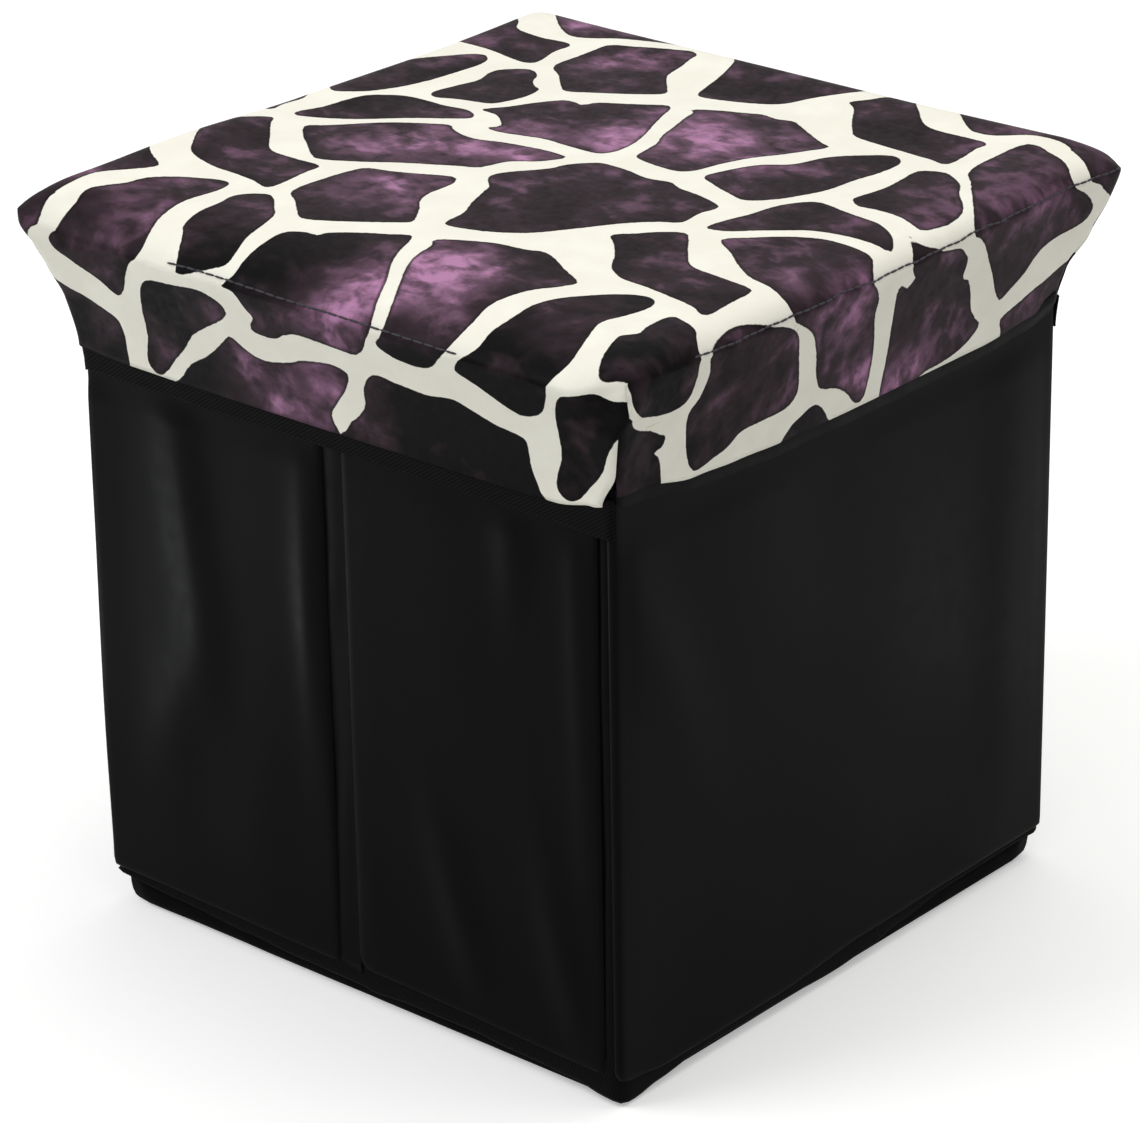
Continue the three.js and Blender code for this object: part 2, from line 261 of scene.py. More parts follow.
def eased(x: Array, knots: list[tuple[float, float]]) -> Array:
    """Reads a smooth curve through knots, level at each of them.

    Args:
        x: Where to read.
        knots: Pairs of place and height, in order of place.

    Returns:
        The heights.
    """
    places, heights = (np.array(column, float) for column in zip(*knots))
    at = np.clip(np.searchsorted(places, x) - 1, 0, len(places) - 2)
    share = np.clip((x - places[at]) / (places[at + 1] - places[at]), 0, 1)
    share = share * share * (3 - 2 * share)
    return heights[at] * (1 - share) + heights[at + 1] * share


def ripples(x: Array, y: Array, sizes: tuple[float, float], seed: int) -> Array:
    """Soft irregular waves, from about -1 to 1.

    Args:
        x: Places along the first direction, in millimetres.
        y: Places along the second.
        sizes: About how long a wave is in each direction.
        seed: Which waves.

    Returns:
        The height of the waves.
    """
    draw = np.random.default_rng(SEED + seed)
    total = np.zeros(np.broadcast(x, y).shape)
    for _ in range(WAVES):
        kx, ky = draw.normal(0, 2.2, 2) / np.array(sizes)
        total = total + np.sin(kx * x * 2 + ky * y * 2 + draw.uniform(0, 6.28))
    return total / 4


def bump_at(
    x: Array, y: Array, centre: tuple[float, float], spread: tuple[float, float], turn: float
) -> Array:
    """A soft round or long swelling of height 1.

    Args:
        x: Places along the first direction.
        y: Places along the second.
        centre: The middle of the swelling.
        spread: How far it reaches along and across itself.
        turn: How far it is turned, in degrees.

    Returns:
        Its height at each place.
    """
    c, s = math.cos(math.radians(turn)), math.sin(math.radians(turn))
    dx, dy = x - centre[0], y - centre[1]
    along, across = dx * c + dy * s, dy * c - dx * s
    return np.exp(-((along / spread[0]) ** 2 + (across / spread[1]) ** 2) / 2)


def on_square(side: Side, s: Array, half: Array, corner: Array, height: Array, ear: Array = 0.0) -> Array:
    """Points on one side of a rounded square.

    Args:
        side: Which side.
        s: Places along it, from one corner's middle at -1 to the other's at 1.
        half: Half the square's size.
        corner: Its corners' radius.
        height: The points' heights.
        ear: How far its corners are drawn out.

    Returns:
        The points.
    """
    run = (half - corner) + corner * math.pi / 4
    over = np.maximum(np.abs(s) * run - (half - corner), 0)
    angle = over / np.maximum(corner, 1e-6)
    x = np.minimum(np.abs(s) * run, half - corner) + corner * np.sin(angle)
    y = half - corner * (1 - np.cos(angle))
    flare = ear * np.exp(-(((1 - np.abs(s)) * half / 15) ** 2) / 2)
    points = np.stack(np.broadcast_arrays(np.sign(s) * (x + flare), -(y + flare), height), axis=-1)
    return turned(points, side)


def square_loop(half: float, corner: float, height: Array, places: Array) -> Array:
    """A closed loop round a rounded square, from the front's far corner on.

    Args:
        half: Half the square's size.
        corner: Its corners' radius.
        height: One height, or a height for each point of the loop.
        places: Places along each side, from -1 up to but without 1.

    Returns:
        The loop's points.
    """
    loop = np.concatenate([on_square(side, places, half, corner, np.zeros(len(places))) for side in Side])
    loop[:, 2] = height
    return loop


def stacked_loops(loops: list[Array]) -> Array:
    """Quads of a tube through closed loops that are stored one after the other."""
    count = len(loops[0])
    index = np.arange(count * len(loops)).reshape(len(loops), count)
    return np.concatenate([ring_faces(index[i], index[i + 1]) for i in range(len(loops) - 1)])


def laid(points: Array, face_up: bool, height: float, middle: tuple[float, float] = (0, 0)) -> Array:
    """Lays a plate down, its face up or down at a height.

    Args:
        points: The points, as Plate.build gives them.
        face_up: Whether the face looks up.
        height: Where the face is.
        middle: Where the plate's middle is.

    Returns:
        The points in the shared frame, in millimetres.
    """
    x, y, z = points.T
    flat = np.stack([x, z, -y] if face_up else [x, -z, y], axis=1)
    return flat + np.array([*middle, height])


def thread(path: Array, radius: float) -> tuple[Array, Array]:
    """A closed six-sided thread along a path, its ends drawn in.

    Args:
        path: The points that it follows.
        radius: Its radius.

    Returns:
        Its points and quads.
    """
    sides = 6
    ahead = np.gradient(path, axis=0)
    ahead /= np.maximum(np.linalg.norm(ahead, axis=1, keepdims=True), 1e-9)
    side = np.cross(ahead, [0.0, 0.0, 1.0])
    weak = np.linalg.norm(side, axis=1) < 0.05
    side[weak] = np.cross(ahead[weak], [1.0, 0.0, 0.0])
    side /= np.linalg.norm(side, axis=1, keepdims=True)
    over = np.cross(side, ahead)
    size = np.full(len(path), radius)
    size[[0, -1]] *= 0.35
    turn = np.arange(sides) * 2 * math.pi / sides
    rings = path[:, None] + size[:, None, None] * (
        np.cos(turn)[None, :, None] * side[:, None] + np.sin(turn)[None, :, None] * over[:, None]
    )
    index = np.arange(len(path) * sides).reshape(len(path), sides)
    faces = [ring_faces(index[i + 1], index[i]) for i in range(len(path) - 1)]
    for end in (index[0], index[-1][::-1]):
        faces.append(np.array([[end[0], end[1], end[2], end[3]], [end[0], end[3], end[4], end[5]]]))
    return rings.reshape(-1, 3), np.concatenate(faces)


def stitches(path: Array, length: float, gap: float, radius: float) -> tuple[Array, Array]:
    """A row of stitches along a path.

    Args:
        path: The seam's points, close together.
        length: Each stitch's length.
        gap: The space between two stitches.
        radius: The thread's radius.

    Returns:
        The points and quads of all of them.
    """
    run = np.concatenate([[0], np.cumsum(np.linalg.norm(np.diff(path, axis=0), axis=1))])
    points, faces, count = [], [], 0
    for start in np.arange(0, run[-1] - length, length + gap):
        at = start + np.linspace(0, length, 6)
        piece = np.stack([np.interp(at, run, path[:, i]) for i in range(3)], axis=1)
        made, quads = thread(piece, radius)
        points.append(made)
        faces.append(quads + count)
        count += len(made)
    return np.concatenate(points), np.concatenate(faces)


# ---------------------------------------------------------------- finishes


class Recipe:
    """A material under construction: short names for the nodes that it needs."""

    def __init__(self, name: str) -> None:
        """Starts a material with one Principled shader.

        Args:
            name: The material's name.
        """
        self.material = bpy.data.materials.new(name)
        self.material.use_nodes = True
        self.nodes = self.material.node_tree.nodes
        self.links = self.material.node_tree.links
        self.shader = self.nodes["Principled BSDF"]
        self.place = self.node("ShaderNodeTexCoord").outputs["Object"]

    def node(self, kind: str, inputs: dict | None = None, **settings: object) -> bpy.types.Node:
        """Adds a node.

        Args:
            kind: The node's type.
            inputs: What each input holds or is linked to.
            settings: The node's own settings.

        Returns:
            The node.
        """
        made = self.nodes.new(kind)
        for key, value in settings.items():
            setattr(made, key, value)
        for key, value in (inputs or {}).items():
            if isinstance(value, bpy.types.NodeSocket):
                self.links.new(value, made.inputs[key])
            else:
                made.inputs[key].default_value = value
        return made

    def value_of(self, name: str) -> bpy.types.NodeSocket:
        """The number that the mesh stores for each point under a name."""
        return self.node("ShaderNodeAttribute", attribute_name=name).outputs["Fac"]

    def stretched(self, scale: tuple[float, float, float], turn: float = 0) -> bpy.types.NodeSocket:
        """Object coordinates, scaled and turned about the upright axis in degrees."""
        rotation = (0, 0, math.radians(turn))
        inputs = {"Vector": self.place, "Scale": scale, "Rotation": rotation}
        return self.node("ShaderNodeMapping", inputs).outputs["Vector"]

    def noise(
        self,
        scale: float,
        detail: float = 4,
        roughness: float = 0.5,
        distortion: float = 0,
        vector: bpy.types.NodeSocket | None = None,
    ) -> bpy.types.NodeSocket:
        """Cloudy noise.

        Args:
            scale: Clouds in a metre.
            detail: How many finer layers it has.
            roughness: How strong the finer layers are.
            distortion: How far the clouds are pulled about.
            vector: Its coordinates, or None for the object's own.

        Returns:
            Its value, from 0 to 1.
        """
        inputs = {
            "Vector": vector or self.place,
            "Scale": scale,
            "Detail": detail,
            "Roughness": roughness,
            "Distortion": distortion,
        }
        return self.node("ShaderNodeTexNoise", inputs).outputs["Fac"]

    def cells(self, scale: float, feature: str = "DISTANCE_TO_EDGE") -> bpy.types.NodeSocket:
        """Cells of a grain, as the distance to their edges or middles."""
        inputs = {"Vector": self.place, "Scale": scale}
        return self.node("ShaderNodeTexVoronoi", inputs, feature=feature).outputs["Distance"]

    def maths(self, work: str, a: object, b: object = 0.0, c: object = 0.0) -> bpy.types.NodeSocket:
        """One step of arithmetic.

        Args:
            work: The node's operation.
            a: The first socket or number.
            b: The second.
            c: The third, for the operations that have one.

        Returns:
            The result.
        """
        made = self.node("ShaderNodeMath", operation=work)
        for socket, value in zip(made.inputs, (a, b, c)):
            if isinstance(value, bpy.types.NodeSocket):
                self.links.new(value, socket)
            else:
                socket.default_value = value
        return made.outputs[0]

    def spread(
        self,
        value: bpy.types.NodeSocket,
        before: tuple[float, float],
        after: tuple[float, float] = (0, 1),
        smooth: bool = True,
    ) -> bpy.types.NodeSocket:
        """Carries a value from one range to another, held at its ends.

        Args:
            value: The value.
            before: The range that it comes from.
            after: The range that it goes to.
            smooth: Whether it eases in and out.

        Returns:
            The new value.
        """
        inputs = {
            "Value": value,
            "From Min": before[0],
            "From Max": before[1],
            "To Min": after[0],
            "To Max": after[1],
        }
        kind = "SMOOTHSTEP" if smooth else "LINEAR"
        return self.node("ShaderNodeMapRange", inputs, interpolation_type=kind).outputs["Result"]

    def ramp(self, value: bpy.types.NodeSocket, stops: list[tuple[float, Colour]]) -> bpy.types.NodeSocket:
        """Colours along a value.

        Args:
            value: The value, from 0 to 1.
            stops: Pairs of place and colour.

        Returns:
            The colour.
        """
        made = self.node("ShaderNodeValToRGB", {"Fac": value})
        while len(made.color_ramp.elements) < len(stops):
            made.color_ramp.elements.new(0.5)
        for element, (place, colour) in zip(made.color_ramp.elements, stops):
            element.position = place
            element.color = (*colour, 1)
        return made.outputs["Color"]

    def mixed(self, share: object, a: object, b: object) -> bpy.types.NodeSocket:
        """Mixes two colours.

        Args:
            share: The second colour's share, a socket or a number.
            a: The first colour, a socket or a plain one.
            b: The second.

        Returns:
            The mixed colour.
        """
        made = self.node("ShaderNodeMix", data_type="RGBA")
        for socket, value in ((made.inputs[0], share), (made.inputs[6], a), (made.inputs[7], b)):
            if isinstance(value, bpy.types.NodeSocket):
                self.links.new(value, socket)
            elif isinstance(value, tuple):
                socket.default_value = (*value, 1)
            else:
                socket.default_value = value
        return made.outputs[2]

    def bumped(self, height: bpy.types.NodeSocket, depth: float) -> bpy.types.NodeSocket:
        """A normal that shows a height as relief.

        Args:
            height: The relief, from 0 to 1.
            depth: How deep 1 is, in metres.

        Returns:
            The normal.
        """
        inputs = {"Height": height, "Distance": depth, "Strength": 1.0}
        return self.node("ShaderNodeBump", inputs).outputs["Normal"]

    def dress(self, **sockets: object) -> bpy.types.Material:
        """Sets the shader's sockets.

        Args:
            sockets: A value or a socket for each, named with _ for a space.

        Returns:
            The finished material.
        """
        for key, value in sockets.items():
            socket = self.shader.inputs[key.replace("_", " ")]
            if isinstance(value, bpy.types.NodeSocket):
                self.links.new(value, socket)
            else:
                socket.default_value = value
        return self.material


@dataclass(frozen=True)
class Finish:
    """A surface finish. Each kind makes its material once and then shares it."""

    name: str

    def material(self) -> bpy.types.Material:
        """The finish's material, made at its first use."""
        return bpy.data.materials.get(self.name) or self.mix(Recipe(self.name))

    def mix(self, recipe: Recipe) -> bpy.types.Material:
        """Builds the material. Each kind of finish has its own way.

        Args:
            recipe: The material, with its shader.

        Returns:
            The same material, dressed.
        """
        raise NotImplementedError


@dataclass(frozen=True)
class PrintedVinyl(Finish):
    """Cream grained vinyl with dark cloudy patches, read from the cover's stored depths."""

    cream: Colour = (0.83, 0.815, 0.725)
    shade: Colour = (0.795, 0.775, 0.685)
    night: Colour = (0.0045, 0.004, 0.0045)
    plum: Colour = (0.034, 0.021, 0.027)
    violet: Colour = (0.125, 0.066, 0.105)
    orchid: Colour = (0.41, 0.2, 0.35)

    def mix(self, recipe: Recipe) -> bpy.types.Material:
        """Lays soft smoke inside the patches and grain over everything."""
        depth, bloom_and_shade = recipe.value_of("patch_depth"), recipe.value_of("bloom_and_shade")
        edge = recipe.maths("MULTIPLY_ADD", recipe.noise(420, 2), 0.7, -0.35)
        depth = recipe.maths("ADD", depth, edge)
        inside = recipe.spread(depth, (-0.12, 0.28))
        rim = recipe.spread(depth, (0.1, 1.8), (0.4, 1))
        billow = recipe.noise(34, 4, 0.55, 0.35)
        smoke = recipe.noise(80, 5, 0.56, 0.3, recipe.stretched((1, 1.35, 1.15), 38))
        wisps = recipe.spread(smoke, (0.28, 0.72), (0.2, 1))
        haze = recipe.maths("MULTIPLY", recipe.spread(billow, (0.36, 0.7)), wisps)
        # Painted shade: where the stored pink strength is below 0, it darkens the ink of the skirts' patches.
        glow_and_shade = recipe.maths("MULTIPLY", bloom_and_shade, recipe.spread(smoke, (0.22, 0.72), (0.42, 1.05)))
        tint = recipe.maths("MULTIPLY_ADD", haze, 0.5, glow_and_shade)
        tint = recipe.maths("MULTIPLY", tint, rim)
        inks = [(0.0, self.night), (0.28, self.plum), (0.58, self.violet), (1.0, self.orchid)]
        ink = recipe.ramp(tint, inks)
        ground = recipe.mixed(recipe.spread(recipe.noise(60, 3), (0.35, 0.7)), self.shade, self.cream)
        colour = recipe.mixed(inside, ground, ink)
        grain = recipe.maths("MULTIPLY_ADD", recipe.cells(1100), 1.6, recipe.noise(2600, 2))
        relief = recipe.bumped(grain, 0.000035)
        rough = recipe.spread(recipe.noise(300, 3), (0.3, 0.7), (0.4, 0.52))
        return recipe.dress(Base_Color=colour, Roughness=rough, Normal=relief, Specular_IOR_Level=0.035)


@dataclass(frozen=True)
class PlainVinyl(Finish):
    """Satin vinyl of one colour with a fine grain."""

    colour: Colour = (0.002, 0.002, 0.0022)
    roughness: tuple[float, float] = (0.3, 0.38)
    specular: float = 0.04
    grain: float = 0.000018

    def mix(self, recipe: Recipe) -> bpy.types.Material:
        """Fine grain, with a slow change of sheen."""
        lighter = tuple(c * 1.5 for c in self.colour)
        colour = recipe.mixed(recipe.noise(45, 4, 0.6), self.colour, lighter)
        grain = recipe.maths("MULTIPLY_ADD", recipe.cells(1500), 1.4, recipe.noise(3200, 2))
        relief = recipe.bumped(grain, self.grain)
        rough = recipe.spread(recipe.noise(130, 4, 0.6), (0.3, 0.7), self.roughness)
        return recipe.dress(
            Base_Color=colour, Roughness=rough, Normal=relief, Specular_IOR_Level=self.specular
        )


@dataclass(frozen=True)
class WovenTape(Finish):
    """Ribbed or twilled tape, its ribs laid out on the piece's own flat coordinates."""

    colour: Colour = (0.0016, 0.0016, 0.0017)
    ribs: float = 1500
    slant: float = 55
    depth: float = 0.00018

    def mix(self, recipe: Recipe) -> bpy.types.Material:
        """Slanting ribs crossed by finer threads."""
        flat = recipe.node("ShaderNodeUVMap", uv_map="flat").outputs["UV"]
        turn = (0, 0, math.radians(self.slant))
        along = recipe.node("ShaderNodeMapping", {"Vector": flat, "Rotation": turn}).outputs["Vector"]
        ribs = recipe.node(
            "ShaderNodeTexWave", {"Vector": along, "Scale": self.ribs / 6.28, "Distortion": 0.6, "Detail": 2}
        ).outputs["Fac"]
        threads = recipe.node(
            "ShaderNodeTexWave",
            {"Vector": flat, "Scale": self.ribs / 4, "Distortion": 0.4},
            bands_direction="Y",
        ).outputs["Fac"]
        weave = recipe.maths("MULTIPLY_ADD", threads, 0.35, ribs)
        lighter = tuple(c * 2.6 for c in self.colour)
        colour = recipe.mixed(recipe.spread(weave, (0.3, 1.2)), self.colour, lighter)
        return recipe.dress(
            Base_Color=colour,
            Roughness=recipe.spread(weave, (0, 1.3), (0.75, 0.6)),
            Normal=recipe.bumped(weave, self.depth),
            Specular_IOR_Level=0.05,
            Sheen_Weight=0.006,
        )


@dataclass(frozen=True)
class Nonwoven(Finish):
    """Pressed nonwoven cloth with a field of small dimples."""

    colour: Colour = (0.013, 0.013, 0.0135)

    def mix(self, recipe: Recipe) -> bpy.types.Material:
        """Dimples and loose fibres."""
        dimples = recipe.spread(recipe.cells(620, "F1"), (0.15, 0.5))
        fibres = recipe.noise(1800, 6, 0.8, 1.5)
        height = recipe.maths("MULTIPLY_ADD", fibres, 0.5, dimples)
        lighter = tuple(c * 2.2 for c in self.colour)
        colour = recipe.mixed(recipe.spread(height, (0.3, 1.3)), self.colour, lighter)
        return recipe.dress(
            Base_Color=colour,
            Roughness=recipe.spread(fibres, (0.2, 0.8), (0.82, 0.95)),
            Normal=recipe.bumped(height, 0.00025),
            Specular_IOR_Level=0.2,
            Sheen_Weight=0.2,
        )


@dataclass(frozen=True)
class PressedBoard(Finish):
    """Bare pressed fibreboard."""

    colour: Colour = (0.27, 0.17, 0.09)

    def mix(self, recipe: Recipe) -> bpy.types.Material:
        """Short fibres, darker and lighter."""
        fibres = recipe.noise(700, 8, 0.75, 2.0)
        darker = tuple(c * 0.6 for c in self.colour)
        colour = recipe.mixed(recipe.spread(fibres, (0.3, 0.7)), darker, self.colour)
        rough = recipe.spread(fibres, (0.2, 0.8), (0.7, 0.9))
        return recipe.dress(Base_Color=colour, Roughness=rough, Normal=recipe.bumped(fibres, 0.0002))


@dataclass(frozen=True)
class OpenFoam(Finish):
    """Pale open-cell foam."""

    colour: Colour = (0.78, 0.7, 0.46)

    def mix(self, recipe: Recipe) -> bpy.types.Material:
        """Small dark cells."""
        cells = recipe.cells(1300)
        darker = tuple(c * 0.55 for c in self.colour)
        colour = recipe.mixed(recipe.spread(cells, (0.02, 0.3)), self.colour, darker)
        rough = recipe.spread(cells, (0, 0.5), (0.85, 0.95))
        return recipe.dress(Base_Color=colour, Roughness=rough, Normal=recipe.bumped(cells, 0.0004))


@dataclass(frozen=True)
class SewingThread(Finish):
    """Twisted sewing thread."""

    colour: Colour = (0.01, 0.009, 0.013)

    def mix(self, recipe: Recipe) -> bpy.types.Material:
        """A fine twist along the thread."""
        twist = recipe.noise(2400, 3, 0.6, 1.0)
        lighter = tuple(c * 3 for c in self.colour)
        colour = recipe.mixed(recipe.spread(twist, (0.35, 0.7)), self.colour, lighter)
        rough = recipe.spread(twist, (0.3, 0.7), (0.5, 0.7))
        return recipe.dress(Base_Color=colour, Roughness=rough, Normal=recipe.bumped(twist, 0.0001))


PRINT = PrintedVinyl("printed_vinyl_cover")
BODY_VINYL = PlainVinyl("black_satin_vinyl")
STRIP_VINYL = PlainVinyl("black_strip_vinyl", roughness=(0.4, 0.5))
FLOOR_VINYL = PlainVinyl("black_floor_vinyl", roughness=(0.55, 0.65), specular=0.02)
BACKING = Nonwoven("vinyl_backing", colour=(0.55, 0.54, 0.5))
HEM_TAPE = WovenTape("black_twill_tape")
RIM_TAPE = WovenTape("black_rim_tape", slant=20, ribs=1500, depth=0.0001)
LINING = Nonwoven("black_nonwoven_lining")
BOARD = PressedBoard("pressed_fibreboard")
FOAM = OpenFoam("pale_foam")
THREAD = SewingThread("black_thread")


# ---------------------------------------------------------------- flat plates and trays


@dataclass
class Plate:
    """A flat piece with a rounded outline and rolled edges, laid out in the front side's plane.

    Its face is at depth 0 and looks outwards; its width runs along X and its height along Z.

    Attributes:
        width: Its width, in millimetres like every size here.
        height: Its height.
        depth: How far back its edges reach.
        corner: The radius of its corners.
        roll: The radius of its rolled edge.
        cell: How far apart the face's points are.
        back_lip: How far the edge turns in at the back, or None for a closed back.
        steps: How many facets the roll has.
        profile: Pairs of out and back for each ring round the edge, in place of the roll.
        feet: Radii of the left and the right corner at the foot, where they differ.
    """

    width: float
    height: float
    depth: float
    corner: float = 4.0
    roll: float = 1.0
    cell: float = 4.0
    back_lip: float | None = None
    steps: int = 4
    profile: tuple[tuple[float, float], ...] | None = None
    feet: tuple[float, float] | None = None

    def radius_at(self, x: Array, z: Array, inset: float) -> Array:
        """The corner radius that holds at each place: the feet's two corners can have their own."""
        left, right = self.feet or (self.corner, self.corner)
        foot = np.where(x < 0, left, right)
        return np.maximum(np.where(z < 0, foot, self.corner) - inset, 0.5)

    def outline_fit(self, a: Array, b: Array, inset: float) -> tuple[Array, Array]:
        """Moves a rectangle's points so that its corners are round.

        Args:
            a: Places across the width, from -1 to 1.
            b: Places up the height, from -1 to 1.
            inset: How far the outline lies inside the plate's own.

        Returns:
            The places in millimetres.
        """
        half_a, half_b = self.width / 2 - inset, self.height / 2 - inset
        x, z = a * half_a, b * half_b
        radius = self.radius_at(x, z, inset)
        over_x = np.maximum(np.abs(x) - (half_a - radius), 0)
        over_z = np.maximum(np.abs(z) - (half_b - radius), 0)
        length = np.hypot(over_x, over_z)
        pull = np.where(length > 0, np.maximum(over_x, over_z) / np.maximum(length, 1e-9), 1)
        x = np.sign(x) * (np.abs(x) - over_x + over_x * pull)
        z = np.sign(z) * (np.abs(z) - over_z + over_z * pull)
        return x, z

    def build(self, relief: object = None) -> tuple[Array, Array]:
        """Makes the plate's mesh.

        Args:
            relief: A function of the places across and up, in millimetres, that gives how far the face
                stands out, or None for a flat face.

        Returns:
            Points with X across, Y outwards as -Y and Z up, round the plate's middle, and quads.
        """
        columns, rows = (max(4, round(size / self.cell)) + 1 for size in (self.width, self.height))
        a, b = np.meshgrid(np.linspace(-1, 1, columns), np.linspace(-1, 1, rows))
        x, z = self.outline_fit(a, b, self.roll)
        face = np.stack([x.ravel(), np.zeros(x.size), z.ravel()], axis=1)
        loop = grid_edge(rows, columns)
        edge = face[loop]
        half_a, half_b = self.width / 2 - self.roll, self.height / 2 - self.roll
        radius = self.radius_at(edge[:, 0], edge[:, 2], self.roll)
        core = np.stack([np.clip(edge[:, 0], radius - half_a, half_a - radius), edge[:, 1],
                         np.clip(edge[:, 2], radius - half_b, half_b - radius)], axis=1)
        outwards = (edge - core) / np.linalg.norm(edge - core, axis=1, keepdims=True)
        layers, faces = [face], [grid_faces(rows, columns)]
        rings = [edge + outwards * out + np.array([0, back, 0]) for out, back in self.roll_steps()]
        last = add_rings(layers, faces, rings, loop)
        if self.back_lip is None:
            count = len(face) + len(rings) * len(loop)
            layers.append(face + np.array([0, self.depth, 0]))
            faces.append(grid_faces(rows, columns, count)[:, ::-1])
            faces.append(ring_faces(count + loop, last))
        points = np.concatenate(layers)
        if relief is not None:
            fade = 1 - np.clip(points[:, 1] / max(self.depth, 1e-6), 0, 1)
            points[:, 1] -= relief(points[:, 0], points[:, 2]) * fade
        return points, np.concatenate(faces)

    def roll_steps(self) -> list[tuple[float, float]]:
        """The rings round the plate's edge.

        Returns:
            How far out and how far back each ring lies.
        """
        if self.profile is not None:
            return list(self.profile)
        angles = np.linspace(0, math.pi / 2, self.steps + 1)[1:]
        front = [(self.roll * math.sin(t), self.roll * (1 - math.cos(t))) for t in angles]
        rear = [(out, self.depth - back) for out, back in reversed(front)]
        if self.back_lip is None:
            return front + rear
        inwards = np.linspace(0, self.back_lip, 4)
        return front + rear + [(-i, self.depth) for i in inwards]


# ---------------------------------------------------------------- the box's walls


FOOT_LINES: dict[Side, list[tuple[float, float]]] = {
    Side.FRONT: [(-136, 15), (-8, 13), (8, 14.2), (136, 11.2)],
    Side.HINGE: [(-136, 11), (-128, 9.4), (-108, 7.2), (-42, 7.7), (18, 11.5), (70, 12.5), (136, 13.2)],
    Side.BACK: [(-136, 13.2), (136, 13)],
    Side.FAR: [(-136, 13), (136, 15)],
}


def flared(points: Array) -> Array:
    """Spreads the box's soft shell a little at its far front corner, near the floor.

    Args:
        points: Points of the shell in millimetres.

    Returns:
        The spread points.
    """
    share = np.clip((-96 - points[:, 0]) / 40, 0, 1) * np.clip((-70 - points[:, 1]) / 66, 0, 1)
    share = share * eased(points[:, 2], [(0, 1), (60, 0.85), (180, 0)])
    return points - np.stack([2.2 * share, 0 * share, 0 * share], axis=1)


